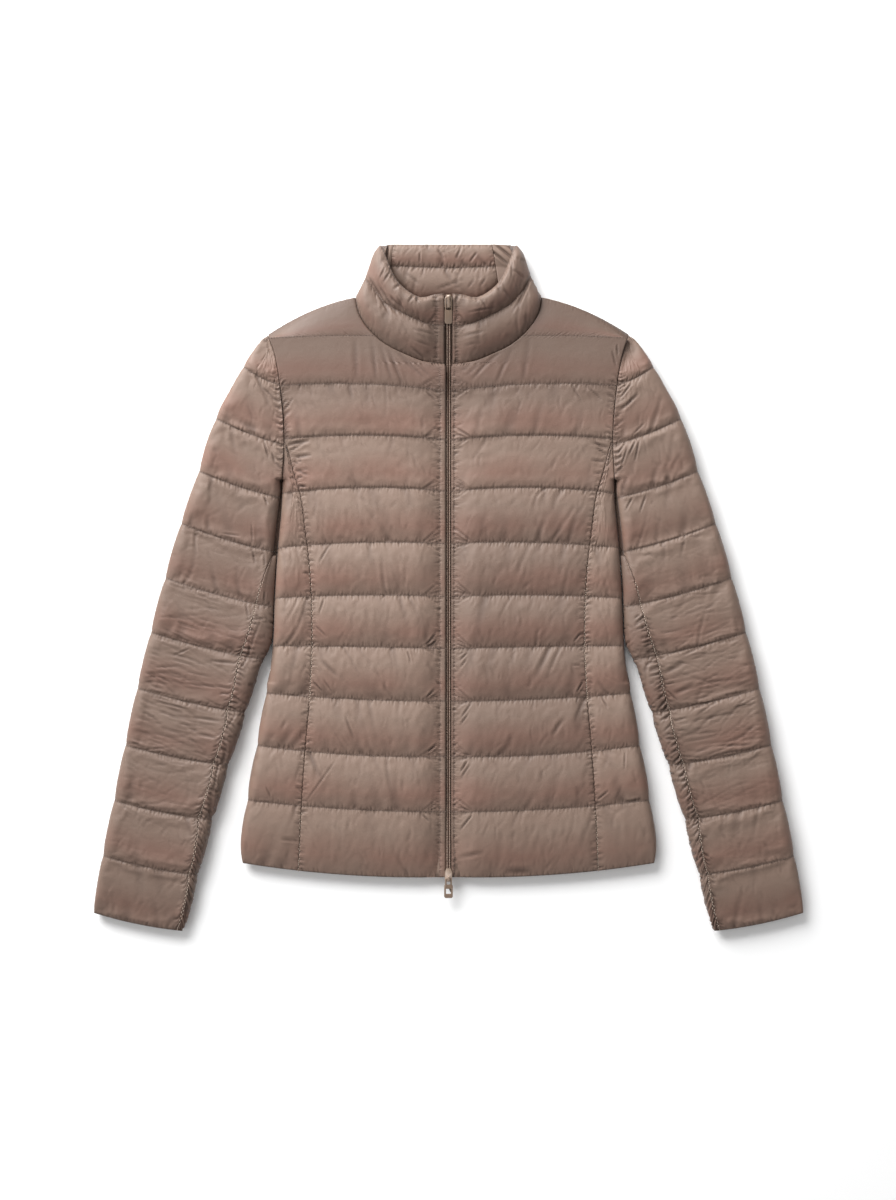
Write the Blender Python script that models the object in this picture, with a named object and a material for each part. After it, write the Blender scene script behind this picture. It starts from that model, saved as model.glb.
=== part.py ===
"""A women's light puffer jacket, zipped up and laid flat on its back, sleeves down at its sides.

Sizes and tables are in millimetres, meshes in metres. +X is the wearer's left, +Y runs from the hem to the
collar, +Z is up from the surface. The origin is on the surface, under the middle of the jacket.
Each cut piece is a padded wall: one grid of points for its quilted outside, one for its plain inside.
"""

import math
from collections import namedtuple

import bmesh
import bpy
import numpy as np
from mathutils import Vector

MM = 0.001

# Heights of the layers, from the surface up
BACK_TOP = 8.7
LAYER_GAP = 0.3
FRONT_INSIDE = BACK_TOP + LAYER_GAP
EDGE_ROUND = 9.0  # how far in the underside's edge is rounded up from the surface
ROUND_BEND = 0.25  # how high it is rounded up near the edge, as a share of the back's thickness
ROUND_BEND_INSET = 0.3  # where that is, as a share of EDGE_ROUND
ROUND_TOP = 0.8  # how high it is at the edge
HEM_BEND_PLACE = 0.04
BACK_SHARES = (0.0, 0.3, 0.55, 1.0)  # columns of points from the middle to the side, as shares
BACK_TOP_ROWS = ((0.7, 0.0), (0.92, ROUND_BEND), (1.0, ROUND_TOP))  # shares of the last channel, and rounding
TURNED_EDGE = ((0.0, 0.62), (0.28, 0.22), (1.0, 0.0))  # a fold's underside: shares of EDGE_ROUND and BACK_TOP

# Quilting
STITCHED_WALL = 4.5  # a wall's thickness along a line of stitches
END_WALL = 2.0  # and at a hem, a shoulder or a cuff
FOLDED_WALL = 1.5  # and at a side edge, where it meets the layer under it
BODY_LOFT = 12.0  # how far a channel's crown rises over its stitches
SLEEVE_LOFT = 13.5
COLLAR_LOFT = 6.0
CROWN_POWER = 2.4  # 2 is a round crown, more is a flatter one
FULL_PITCH = 45.0  # crowns are lower where stitch lines run closer than this
CHANNEL_STEPS = (0.0, 0.15, 0.5, 0.85)  # rows of points within a channel
NECK_CHANNEL_STEPS = (0.0, 0.15, 0.3, 0.41, 0.53, 0.65, 0.77, 0.89)  # and in the one the neckline cuts
SCALLOP = 2.0  # how far a free edge swells out between two stitch lines

# Columns of points near an edge: their distances from it
NEAR_ZIP = (0, 5.5, 11, 19)
NEAR_SEAM = (0, 6, 16)
NEAR_SIDE_SEAM = (0, 7)
NEAR_SLEEVE_SEAM = (0, 7, 17)
NEAR_FOLD = (0, 2.5, 9)
NEAR_SLEEVE_FOLD = (0, 2, 8, 20)

# Seams
SEAM_GAP = 0.3
CURVED_SEAM_GAP = 0.5  # wider where two pieces follow a curve with points in different places
COLLAR_SEAM_GAP = 0.6

# Zip
ZIP_OPENING = 4.3  # half the width between the two fronts' edges
TAPE_REACH = 12.0
TAPE_THICK = 0.8
TAPE_BUTT = 0.15
COIL_HALF = 2.9
COIL_THICK = 2.4
COIL_BOTTOM = FRONT_INSIDE + TAPE_THICK + LAYER_GAP
COIL_TOP = COIL_BOTTOM + COIL_THICK
ZIP_BOTTOM_Y = -304.0
NECK_CENTRE_Y = 234.5
ZIP_TOP_Y = 306.0
REBATE = COIL_BOTTOM - FRONT_INSIDE  # the fronts' insides step up over the tape
COLLAR_REBATE = REBATE + 0.5
REBATE_CLEAR = 0.5  # how far the step lies beyond the tape
REBATE_STEP = 2.0  # and over what distance it falls
REBATE_COVER = 1.0  # the least wall over it
COLLAR_COVER = 1.2

# Collar
COLLAR_STAND = 20.0  # how far the front collar's top edge is lifted off the back
COLLAR_CHANNELS = 2
COLLAR_FOLD_IN = 8.0  # from the collar's folded side to the end of the hollow inside it
COLLAR_SLOPE = COLLAR_STAND / (ZIP_TOP_Y - NECK_CENTRE_Y)
COLLAR_LIFT_POWER = 0.7
COLLAR_EDGE_RISE = 0.5  # how high the underside is rounded up at the top edge, as a share of the back's thickness

Side = namedtuple("Side", "name sign")
SIDES = (Side("left", 1), Side("right", -1))

# Stitch lines of the body from the hem up: their heights at the zip, MIDDLE_X and SIDE_X, and the wall there
MIDDLE_X = 95.0
SIDE_X = 180.0
BodyLine = namedtuple("BodyLine", "zip_y middle_y side_y wall steps")
BODY_LINES = (
    BodyLine(-304.0, -302.5, -294.5, END_WALL, CHANNEL_STEPS),
    BodyLine(-235.0, -232.5, -226.0, STITCHED_WALL, CHANNEL_STEPS),
    BodyLine(-177.0, -175.5, -168.0, STITCHED_WALL, CHANNEL_STEPS),
    BodyLine(-119.0, -117.0, -111.5, STITCHED_WALL, CHANNEL_STEPS),
    BodyLine(-64.0, -62.0, -61.0, STITCHED_WALL, CHANNEL_STEPS),
    BodyLine(-9.5, -8.0, -11.0, STITCHED_WALL, CHANNEL_STEPS),
    BodyLine(46.0, 47.0, 41.5, STITCHED_WALL, CHANNEL_STEPS),
    BodyLine(101.0, 104.5, 98.0, STITCHED_WALL, CHANNEL_STEPS),
    BodyLine(155.0, 159.5, 155.0, STITCHED_WALL, CHANNEL_STEPS),
    BodyLine(206.5, 213.5, 211.5, STITCHED_WALL, NECK_CHANNEL_STEPS),
    BodyLine(264.0, 266.0, 262.0, STITCHED_WALL, CHANNEL_STEPS),
)
ZIP_STRAIGHT_TO = 9.0  # counted in lines from the hem, rows start evenly along the zip up to here
NECKLINE_FROM = 9.3  # from here they start on the neckline
NECKLINE_LAST_LINE = 10.0  # the highest stitch line, which starts at this share of the neckline's length:
NECKLINE_LAST_SHARE = 0.633
SIDE_PANEL_TO = 7.93  # the line at which the side panel ends in a point at the armhole

# Edges and seams of the body: x at each y
Station = namedtuple("Station", "y x")
PRINCESS_SEAM = (
    Station(-300, 157.5), Station(-230, 154), Station(-172, 150.2), Station(-115, 145.3),
    Station(-61, 142.8), Station(-17, 143.2), Station(33, 146.5), Station(59, 149.9),
    Station(96, 154.9), Station(123, 162.8), Station(145, 168.5), Station(156, 172.5),
)
SIDE_EDGE = (
    Station(-295, 215.5), Station(-280, 216.5), Station(-223, 210.3), Station(-166, 200.2),
    Station(-111, 190.5), Station(-61, 184.4), Station(-10, 182.3), Station(42, 179),
    Station(98, 174.3), Station(113, 174), Station(149, 172.3), Station(179, 173.3),
    Station(208.5, 176.4), Station(228.5, 179), Station(246, 182.7), Station(265, 189.4),
)
ARMHOLE_FROM_Y = 113.0
SCALLOPED_BELOW_Y = -100.0

Point = namedtuple("Point", "x y")
NECKLINE = (
    Point(ZIP_OPENING, NECK_CENTRE_Y), Point(14, 234.8), Point(24, 236.5), Point(44, 244), Point(67, 255.7),
    Point(85, 272.5), Point(94, 288), Point(97.6, 304.5),
)
SHOULDER_TIP = Point(189.4, 265.3)
SHOULDER_PLACE = float(len(BODY_LINES))
LINES_TO_SHOULDER = (*BODY_LINES, BodyLine(304.5, 304.5, SHOULDER_TIP.y, END_WALL, CHANNEL_STEPS))
BACK_NECK_CENTRE_Y = 290.0
BACK_NECK_SIDE = Point(60, 296)

# Stitch lines of the sleeve from the shoulder down: y at the inner and at the outer edge, and the wall there
SleeveLine = namedtuple("SleeveLine", "inner_y outer_y wall")
SLEEVE_LINES = (
    SleeveLine(264.5, 261.0, END_WALL),
    SleeveLine(212.5, 231.5, STITCHED_WALL),
    SleeveLine(149.5, 177.0, STITCHED_WALL),
    SleeveLine(94.0, 122.0, STITCHED_WALL),
    SleeveLine(37.5, 67.0, STITCHED_WALL),
    SleeveLine(-20.0, 10.0, STITCHED_WALL),
    SleeveLine(-75.0, -47.0, STITCHED_WALL),
    SleeveLine(-131.0, -105.5, STITCHED_WALL),
    SleeveLine(-186.0, -165.0, STITCHED_WALL),
    SleeveLine(-243.0, -223.0, STITCHED_WALL),
    SleeveLine(-301.0, -281.0, STITCHED_WALL),
    SleeveLine(-360.5, -341.5, END_WALL),
)
SLEEVE_SAG = 2.5  # how far a stitch line hangs under the straight line between its ends
SLEEVE_INNER_EDGE = (
    Station(-360.5, 276.9), Station(-302, 261.9), Station(-243, 246.3), Station(-186.4, 229.6),
    Station(-131, 211.8), Station(-75, 196), Station(-45, 189.5), Station(-20, 187),
    Station(5, 185.5), Station(38, 183.5), Station(65, 180.5), Station(100, 176.4),
)
SLEEVE_OUTER_EDGE = (
    Station(-341.5, 373.8), Station(-281, 363.7), Station(-223, 351.8), Station(-163, 339.6),
    Station(-104.5, 327.2), Station(-44, 312.6), Station(12.6, 297.6), Station(69, 281),
    Station(122, 263), Station(155, 253), Station(188.5, 240), Station(206, 230),
    Station(231.5, 216.3), Station(261, 196.4),
)
# The front sleeve seam: how far it lies from the inner edge at each y of that edge
SeamStation = namedtuple("SeamStation", "y inset")
SLEEVE_FRONT_SEAM = (
    SeamStation(-360.5, 6.0), SeamStation(-291, 9.0), SeamStation(-244, 13.5), SeamStation(-183, 15.0),
    SeamStation(-121, 19.0), SeamStation(-75, 22.0), SeamStation(-45, 18.5), SeamStation(-5, 12.0),
    SeamStation(12, 8.0),
)
SEAM_SHOWS_BELOW_Y = 16.0
SLEEVE_BACK_SEAM = 0.42  # where the hidden seam runs on the underside, as a share of the sleeve's width
SLEEVE_FULL_WIDTH = 40.0  # a narrower row has a lower crown
SLEEVE_NARROW = 60.0  # and one narrower than this has smaller folds
SLEEVE_FOLD_IN = 5.0  # from an edge to the end of the hollow inside it
HIDDEN_SEAM_EDGE = (0.94, 0.86, 0.78, 0.7)  # heights of the inner edge where the front seam is hidden
ARMHOLE_EDGE = (0.4, 0.2, 0.0)  # and in the armhole, both as shares of BACK_TOP

# Rows of the front collar from the neckline up, each from the zip to the folded side
COLLAR_MIDDLE = (
    Point(ZIP_OPENING, 273.5), Point(14, 273.8), Point(24, 276), Point(40.5, 283), Point(64, 296),
    Point(87.7, 324),
)
COLLAR_TOP = (
    Point(ZIP_OPENING, 306), Point(14, 305.2), Point(29.5, 302.4), Point(41, 308.2), Point(54.6, 321),
    Point(64, 340), Point(70.5, 352), Point(76.2, 358.6),
)
BACK_COLLAR_TOP_Y = 360.5
CollarSeam = namedtuple("CollarSeam", "neck_x top_x")
COLLAR_SEAMS = {"left": CollarSeam(56.0, 46.0), "right": CollarSeam(66.0, 58.0)}

# Sliders and pulls, in the slider's own frame: x across, y along the zip, z up from the coil's top
SLIDER_HALF = 3.9
SLIDER_NOSE = 0.55 * SLIDER_HALF
SLIDER_LENGTH = 14.0
SLIDER_CLEAR = 0.3
PLATE_THICK = 1.1
FLANGE_IN = 3.2
FLANGE_OUT = SLIDER_HALF - 0.05
FLANGE_DROP = 2.0
BAIL_HALF = 1.1
BAIL_INSIDE = 1.6  # how far the bail's opening reaches beyond the axis
BAIL_THICK = 1.3
BAIL_CORNER = 0.6
BAIL_SHOULDER = 1.0
AXIS_HEIGHT = SLIDER_CLEAR + PLATE_THICK + 1.4
BAIL_CLEAR_TOP = AXIS_HEIGHT + 1.4
PULL_THICK = 1.2
PULL_BAR = 0.8  # half the depth of the bar that turns in the bail
PULL_NECK_HALF = 3.6  # half the pull's width beside its eye
PULL_CORNER = 1.4
PULL_SHOULDER = 1.5  # over what distance beyond the eye it widens
Span = namedtuple("Span", "near far half_width")  # an opening in a pull, measured from its axis
Slider = namedtuple("Slider", "name y slope axis_offset bail_low pull_length pull_half_width pull_drop eye window")
SLIDERS = (
    Slider(
        "top", 298.2, math.atan(COLLAR_SLOPE), 4.1, 10.5, 27.8, 3.9, math.radians(4.0),
        Span(PULL_BAR, 13.0, 2.4), None,
    ),
    Slider(
        "bottom", -301.5, 0.0, -3.5, 2.9, 21.0, 4.6, math.radians(9.0), Span(PULL_BAR, 6.5, 1.9),
        Span(11.0, 16.5, 2.6),
    ),
)

Finish = namedtuple("Finish", "name colour roughness metallic")
SATIN = Finish("satin nylon", (0.28, 0.19, 0.15), 0.45, 0.0)
TAPE = Finish("zip tape", (0.19, 0.13, 0.1), 0.8, 0.0)
COIL = Finish("nylon coil", (0.1, 0.06, 0.04), 0.4, 0.0)
METAL = Finish("enamelled metal", (0.46, 0.34, 0.29), 0.35, 0.6)


# ---------------------------------------------------------------- curves


def read_curve(places, values, place):
    """The value at a place on a smooth curve through the values at rising places."""
    places, values = np.asarray(places, float), np.asarray(values, float)
    slopes = np.gradient(values, places)
    place = float(np.clip(place, places[0], places[-1]))
    i = int(np.clip(np.searchsorted(places, place) - 1, 0, len(places) - 2))
    span = places[i + 1] - places[i]
    t = (place - places[i]) / span
    return (
        (2 * t**3 - 3 * t**2 + 1) * values[i]
        + (t**3 - 2 * t**2 + t) * span * slopes[i]
        + (3 * t**2 - 2 * t**3) * values[i + 1]
        + (t**3 - t**2) * span * slopes[i + 1]
    )


def edge_x(stations, y):
    """The x of an edge or a seam at a given y."""
    return read_curve([s.y for s in stations], [s.x for s in stations], y)


def path_point(points, share, offset=0.0):
    """A point at a share of a curve's length, moved to the curve's left by an offset."""
    xy = np.array(points, float)
    lengths = np.concatenate([[0.0], np.cumsum(np.linalg.norm(np.diff(xy, axis=0), axis=1))])
    shares = lengths / lengths[-1]

    def at(s):
        return np.array([read_curve(shares, xy[:, 0], s), read_curve(shares, xy[:, 1], s)])

    ahead, behind = at(min(share + 0.01, 1.0)), at(max(share - 0.01, 0.0))
    along = (ahead - behind) / np.linalg.norm(ahead - behind)
    return at(share) + offset * np.array([-along[1], along[0]])


def crown(share):
    """The rise of a channel's crown between two stitch lines, from 0 to 1."""
    return (1 - abs(2 * share - 1) ** CROWN_POWER) ** (1 / CROWN_POWER)


# ---------------------------------------------------------------- edges of a quilted piece

# How a piece ends: its crowns' share left at the edge, how far they take to rise, the flat margin before
# they do, and whether it is a fold that rounds down to the layer under it
Ending = namedtuple("Ending", "low reach margin folded")
ZIP_EDGE = Ending(0.0, 20.0, 5.5, False)
SEAMED_EDGE = Ending(0.42, 22.0, 0.0, False)
FOLDED_EDGE = Ending(0.55, 26.0, 0.0, True)


def rise(ending, inset):
    """The share of a crown's height at some distance in from an edge."""
    share = min(max(inset - ending.margin, 0.0) / ending.reach, 1.0)
    return ending.low + (1 - ending.low) * math.sin(share * math.pi / 2)


def wall_height(wall, loft, share, endings, insets):
    """The outside's height over the inside at a point between two endings."""
    height = wall + loft * crown(share) * math.prod(rise(e, d) for e, d in zip(endings, insets))
    for ending, inset in zip(endings, insets):
        if ending.folded:
            drawn = min(max(inset, 0.0) / (0.9 * height), 1.0)
            height = FOLDED_WALL + (height - FOLDED_WALL) * math.sqrt(1 - (1 - drawn) ** 2)
    return height


def line_walls(lines, place):
    """The wall at a place between two stitch lines."""
    i = min(int(place), len(lines) - 2)
    return lines[i].wall + (lines[i + 1].wall - lines[i].wall) * (place - i)


def spread(width, near_start, near_end, between):
    """Distances across a piece: some near each edge and a number evenly between, closer if it is narrow."""
    scale = min(1.0, 0.8 * width / (near_start[-1] + near_end[-1] + 1e-6))
    first, last = near_start[-1] * scale, width - near_end[-1] * scale
    middle = [first + (last - first) * i / (between + 1) for i in range(1, between + 1)]
    return [d * scale for d in near_start] + middle + [width - d * scale for d in reversed(near_end)]


# ---------------------------------------------------------------- solids


def material(finish):
    """The material of a finish, made once."""
    found = bpy.data.materials.get(finish.name)
    if found:
        return found
    made = bpy.data.materials.new(finish.name)
    made.use_nodes = True
    shader = made.node_tree.nodes["Principled BSDF"]
    shader.inputs["Base Color"].default_value = (*finish.colour, 1)
    shader.inputs["Roughness"].default_value = finish.roughness
    shader.inputs["Metallic"].default_value = finish.metallic
    return made


def add_object(name, bm, finish):
    """Links a mesh into the scene as one named object with faces pointing out."""
    bmesh.ops.recalc_face_normals(bm, faces=bm.faces)
    if bm.calc_volume(signed=True) < 0:
        bmesh.ops.reverse_faces(bm, faces=bm.faces)
    mesh = bpy.data.meshes.new(name)
    bm.to_mesh(mesh)
    bm.free()
    mesh.materials.append(material(finish))
    made = bpy.data.objects.new(name, mesh)
    bpy.context.collection.objects.link(made)
    return made


def join_edges(bm, first, second):
    """Fills the strip between two lines of vertices with triangles, each line at its own pace."""

    def shares(line):
        steps = [0.0] + [(b.co - a.co).length for a, b in zip(line, line[1:])]
        total = np.cumsum(steps)
        return total / total[-1]

    a, b = shares(first), shares(second)
    i = j = 0
    while i < len(first) - 1 or j < len(second) - 1:
        ahead_first = i < len(first) - 1 and (j == len(second) - 1 or a[i + 1] <= b[j + 1])
        if ahead_first:
            bm.faces.new((first[i], first[i + 1], second[j]))
            i += 1
        else:
            bm.faces.new((first[i], second[j + 1], second[j]))
            j += 1


def padded_wall(name, outside, inside, finish=SATIN):
    """One closed solid from an outside and an inside grid of points, rows by columns, in millimetres."""
    bm = bmesh.new()
    grids = [[[bm.verts.new(Vector(p) * MM) for p in row] for row in grid] for grid in (outside, inside)]
    for grid in grids:
        for lower, upper in zip(grid, grid[1:]):
            for a, b, c, d in zip(lower, lower[1:], upper[1:], upper):
                bm.faces.new((a, b, c))
                bm.faces.new((a, c, d))
    outer, inner = grids
    join_edges(bm, outer[0], inner[0])
    join_edges(bm, outer[-1], inner[-1])
    join_edges(bm, [row[0] for row in outer], [row[0] for row in inner])
    join_edges(bm, [row[-1] for row in outer], [row[-1] for row in inner])
    return add_object(name, bm, finish)


def mirrored(points, sign):
    """A grid of points on the wearer's left, or its mirror image on the right."""
    return [[(sign * x, y, z) for x, y, z in row] for row in points]


# ---------------------------------------------------------------- body


def body_places(first, last):
    """Places, counted in stitch lines, of the rows of points from one place to another."""
    places = [i + step for i, line in enumerate(BODY_LINES) for step in line.steps]
    places = [p for p in places if first <= p <= min(last, SHOULDER_PLACE)]
    return places if places[-1] == last else [*[p for p in places if p < last - 0.02], last]


def line_value(field, place):
    """A stitch line's height at the zip, the middle or the side, at any place between the lines."""
    values = [getattr(line, field) for line in LINES_TO_SHOULDER]
    i = min(int(place), len(values) - 2)
    return values[i] + (values[i + 1] - values[i]) * (place - i)


def row_y(place, x):
    """The y of a row of points at some x: a parabola through its three measured heights."""
    xs = (ZIP_OPENING, MIDDLE_X, SIDE_X)
    ys = [line_value(field, place) for field in ("zip_y", "middle_y", "side_y")]
    total = 0.0
    for i in range(3):
        others = [xs[j] for j in range(3) if j != i]
        total += ys[i] * math.prod((x - o) / (xs[i] - o) for o in others)
    return total


def side_point(place):
    """The point where a row meets the side edge or the armhole."""
    x = SIDE_X
    for _ in range(4):
        x = edge_x(SIDE_EDGE, row_y(place, x))
    y = row_y(place, x)
    swell = SCALLOP * crown(place % 1) if y < SCALLOPED_BELOW_Y else 0.0
    return np.array([x + swell, y])


def princess_point(place):
    """The point where a row crosses the princess seam."""
    x = PRINCESS_SEAM[0].x
    for _ in range(4):
        x = edge_x(PRINCESS_SEAM, row_y(place, x))
    return np.array([x, row_y(place, x)])


def inner_point(place):
    """The point where a row starts: at the zip's edge, or higher up at the neckline."""
    if place <= ZIP_STRAIGHT_TO:
        return np.array([ZIP_OPENING, row_y(place, ZIP_OPENING)])
    stops = (ZIP_STRAIGHT_TO, NECKLINE_FROM, NECKLINE_LAST_LINE, SHOULDER_PLACE)
    if place < NECKLINE_FROM:
        low = row_y(ZIP_STRAIGHT_TO, ZIP_OPENING)
        return np.array([ZIP_OPENING, np.interp(place, stops[:2], (low, NECK_CENTRE_Y - COLLAR_SEAM_GAP))])
    share = float(np.interp(place, stops[1:], (0.0, NECKLINE_LAST_SHARE, 1.0)))
    return path_point(NECKLINE, share, -COLLAR_SEAM_GAP / 2)


def pitch_share(place, x):
    """The share of the full loft that the channel has at some x, less where its lines draw together."""
    i = min(int(place), len(BODY_LINES) - 1)
    pitch = row_y(i + 1, x) - row_y(i, x)
    return min(1.0, max(pitch, 0.0) / FULL_PITCH)


def row_between(place, start, end, distances):
    """Points across a row from one end to the other, on the row's parabola moved to meet both ends."""
    width = end[0] - start[0]
    misfit = start[1] - row_y(place, start[0]), end[1] - row_y(place, end[0])
    points = []
    for d in distances:
        share = d / width
        x = start[0] + d
        points.append((x, row_y(place, x) + misfit[0] * (1 - share) + misfit[1] * share))
    return points


def front_row(place, start, end, endings, columns):
    """A row of a front's outside: points at distances from its start, with their heights."""
    width = end[0] - start[0]
    wall = line_walls(LINES_TO_SHOULDER, place)
    return [
        (x, y, FRONT_INSIDE + wall_height(wall, BODY_LOFT * pitch_share(place, x), place % 1, endings, (d, width - d)))
        for d, (x, y) in zip(columns, row_between(place, start, end, columns))
    ]


def front_centre_ends(place):
    """Both ends of a row of the front centre panel."""
    end = princess_point(place) if place < SIDE_PANEL_TO else side_point(place)
    gap = SEAM_GAP if place < SIDE_PANEL_TO else CURVED_SEAM_GAP
    if place > SHOULDER_PLACE - 1e-6:
        end = np.array(SHOULDER_TIP)
    return inner_point(place), end - np.array([gap / 2, 0])


def front_centre(side):
    """The front's middle panel, from the zip and the neckline to the princess seam and the armhole."""
    outside, inside = [], []
    for place in body_places(0.0, SHOULDER_PLACE):
        start, end = front_centre_ends(place)
        width = end[0] - start[0]
        at_zip = place <= NECKLINE_FROM
        endings = (ZIP_EDGE if at_zip else SEAMED_EDGE, SEAMED_EDGE)
        row = front_row(place, start, end, endings, spread(width, NEAR_ZIP, NEAR_SEAM, 5))
        x, y, z = row[0]
        outside.append([(x, y, max(z, FRONT_INSIDE + REBATE + REBATE_COVER)), *row[1:]])
        rebate = TAPE_REACH - ZIP_OPENING + REBATE_CLEAR
        lifts = (REBATE, REBATE, 0.0, 0.0)
        inside.append([
            (x, y, FRONT_INSIDE + lift)
            for lift, (x, y) in zip(lifts, row_between(place, start, end, (0.0, rebate, rebate + REBATE_STEP, width)))
        ])
    return padded_wall(f"front_centre_{side.name}", mirrored(outside, side.sign), mirrored(inside, side.sign))


def front_side(side):
    """The front's side panel, from the princess seam round to the side edge, up to a point at the armhole."""
    outside, inside = [], []
    for place in body_places(0.0, SIDE_PANEL_TO):
        start = princess_point(place) + np.array([SEAM_GAP / 2, 0])
        end = side_point(place)
        in_armhole = end[1] > ARMHOLE_FROM_Y
        end = end - np.array([CURVED_SEAM_GAP / 2 if in_armhole else 0.0, 0])
        width = end[0] - start[0]
        endings = (SEAMED_EDGE, SEAMED_EDGE if in_armhole else FOLDED_EDGE)
        outside.append(front_row(place, start, end, endings, spread(width, NEAR_SIDE_SEAM, NEAR_FOLD, 2)))
        inside.append([
            (x, y, FRONT_INSIDE) for x, y in row_between(place, start, end, (0.0, width / 2, width))
        ])
    return padded_wall(f"front_side_{side.name}", mirrored(outside, side.sign), mirrored(inside, side.sign))


def back_half_rows():
    """Rows of the back panel's left half from the hem up, each with how far its underside is rounded up."""
    rows = []
    for place in (0.0, HEM_BEND_PLACE, *body_places(0.1, SHOULDER_PLACE - 1)):
        end = side_point(place)
        if end[1] > ARMHOLE_FROM_Y:
            end = end - np.array([CURVED_SEAM_GAP / 2, 0])
        points = [np.array([end[0] * s, row_y(place, end[0] * s)]) for s in BACK_SHARES]
        rounded = {0.0: ROUND_TOP, HEM_BEND_PLACE: ROUND_BEND}.get(place, 0.0)
        rows.append((points, rounded))
    tip = (SHOULDER_TIP.x - CURVED_SEAM_GAP / 2, SHOULDER_TIP.y)
    shoulder = [np.array(p) for p in ((0.0, BACK_NECK_CENTRE_Y), BACK_NECK_SIDE, NECKLINE[-1], tip)]
    last = rows[-1][0]
    for share, rounded in BACK_TOP_ROWS:
        rows.append(([a + (b - a) * share for a, b in zip(last, shoulder)], rounded))
    return rows


def back_panel():
    """The back: one padded wall that lies flat on the surface, its edges rounded up off it."""
    outside, inside = [], []
    for points, rounded in back_half_rows():
        *inner, (end_x, end_y) = points
        steps = ((EDGE_ROUND, 0.0), (ROUND_BEND_INSET * EDGE_ROUND, ROUND_BEND), (0.0, ROUND_TOP))
        under = [(x, y, rounded * BACK_TOP) for x, y in inner]
        under += [(end_x - inset, end_y, max(z, rounded) * BACK_TOP) for inset, z in steps]
        top = [(x, y, BACK_TOP) for x, y in points]
        for grid, half in ((outside, under), (inside, top)):
            grid.append([(-x, y, z) for x, y, z in reversed(half[1:])] + half)
    return padded_wall("back_panel", outside, inside)


# ---------------------------------------------------------------- sleeves


def sleeve_ends(place):
    """Both ends of a row of the sleeve at a place counted in stitch lines from the shoulder."""
    i = min(int(place), len(SLEEVE_LINES) - 2)
    share = place - i
    inner_y = SLEEVE_LINES[i].inner_y * (1 - share) + SLEEVE_LINES[i + 1].inner_y * share
    outer_y = SLEEVE_LINES[i].outer_y * (1 - share) + SLEEVE_LINES[i + 1].outer_y * share
    if inner_y > ARMHOLE_FROM_Y:
        inner_x = edge_x(SIDE_EDGE, inner_y) + CURVED_SEAM_GAP / 2
    else:
        inner_x = edge_x(SLEEVE_INNER_EDGE, min(inner_y, SLEEVE_INNER_EDGE[-1].y))
    outer_x = edge_x(SLEEVE_OUTER_EDGE, outer_y)
    return np.array([inner_x, inner_y]), np.array([outer_x, outer_y])


def sleeve_places():
    """Places of the rows of points down a sleeve."""
    channels = len(SLEEVE_LINES) - 1
    return [i + step for i in range(channels) for step in CHANNEL_STEPS] + [float(channels)]


def sleeve_row(start, end, shares):
    """Points at shares of a row, which sags a little below the straight line."""
    return [tuple(start + (end - start) * s - np.array([0, SLEEVE_SAG * 4 * s * (1 - s)])) for s in shares]


def seam_inset(inner_y):
    """How far the front sleeve seam lies from the inner edge, 0 where it is hidden at the fold."""
    if inner_y > SEAM_SHOWS_BELOW_Y:
        return 0.0
    return read_curve([s.y for s in SLEEVE_FRONT_SEAM], [s.inset for s in SLEEVE_FRONT_SEAM], inner_y)


def sleeve_height(place, d, width, in_armhole):
    """The sleeve's upper outside at a distance from its inner edge."""
    inner = SEAMED_EDGE if in_armhole else FOLDED_EDGE
    loft = SLEEVE_LOFT * min(1.0, width / SLEEVE_FULL_WIDTH)
    endings, insets = (inner, FOLDED_EDGE), (d, width - d)
    return FRONT_INSIDE + wall_height(line_walls(SLEEVE_LINES, place), loft, place % 1, endings, insets)


def sleeve_points(start, end, steps):
    """Points of a row at (share, height) steps."""
    return [(*p, z) for p, (_, z) in zip(sleeve_row(start, end, [s for s, _ in steps]), steps)]


def turned_edge(width, scale=1.0):
    """Shares of the width and heights of the points where a fold rounds under onto the surface."""
    return [(s * EDGE_ROUND * scale / width, h * BACK_TOP) for s, h in TURNED_EDGE]


def sleeve_top(side):
    """The top sleeve: over the arm from the front seam, round the outer edge to the hidden back seam."""
    outside, inside = [], []
    for place in sleeve_places():
        start, end = sleeve_ends(place)
        width = float(np.linalg.norm(end - start))
        in_armhole = start[1] > ARMHOLE_FROM_Y
        scale = min(1.0, width / SLEEVE_NARROW)
        inset = seam_inset(start[1])
        begin = inset + (SEAM_GAP / 2 if inset else 0.0)
        columns = [begin + d for d in spread(width - begin, NEAR_SLEEVE_SEAM, NEAR_SLEEVE_FOLD, 4)]
        upper = [(d / width, sleeve_height(place, d, width, in_armhole)) for d in columns]
        back = SLEEVE_BACK_SEAM + SEAM_GAP / 2 / width
        lower = [(1 - s, z) for s, z in turned_edge(width, scale)] + [(back, 0.0)]
        outside.append(sleeve_points(start, end, upper + lower))
        fold = 1 - SLEEVE_FOLD_IN * scale / width
        inside.append(sleeve_points(start, end, (
            (begin / width, FRONT_INSIDE), (0.6, FRONT_INSIDE), (fold, FRONT_INSIDE), (fold, BACK_TOP),
            (back, BACK_TOP),
        )))
    return padded_wall(f"sleeve_top_{side.name}", mirrored(outside, side.sign), mirrored(inside, side.sign))


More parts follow.
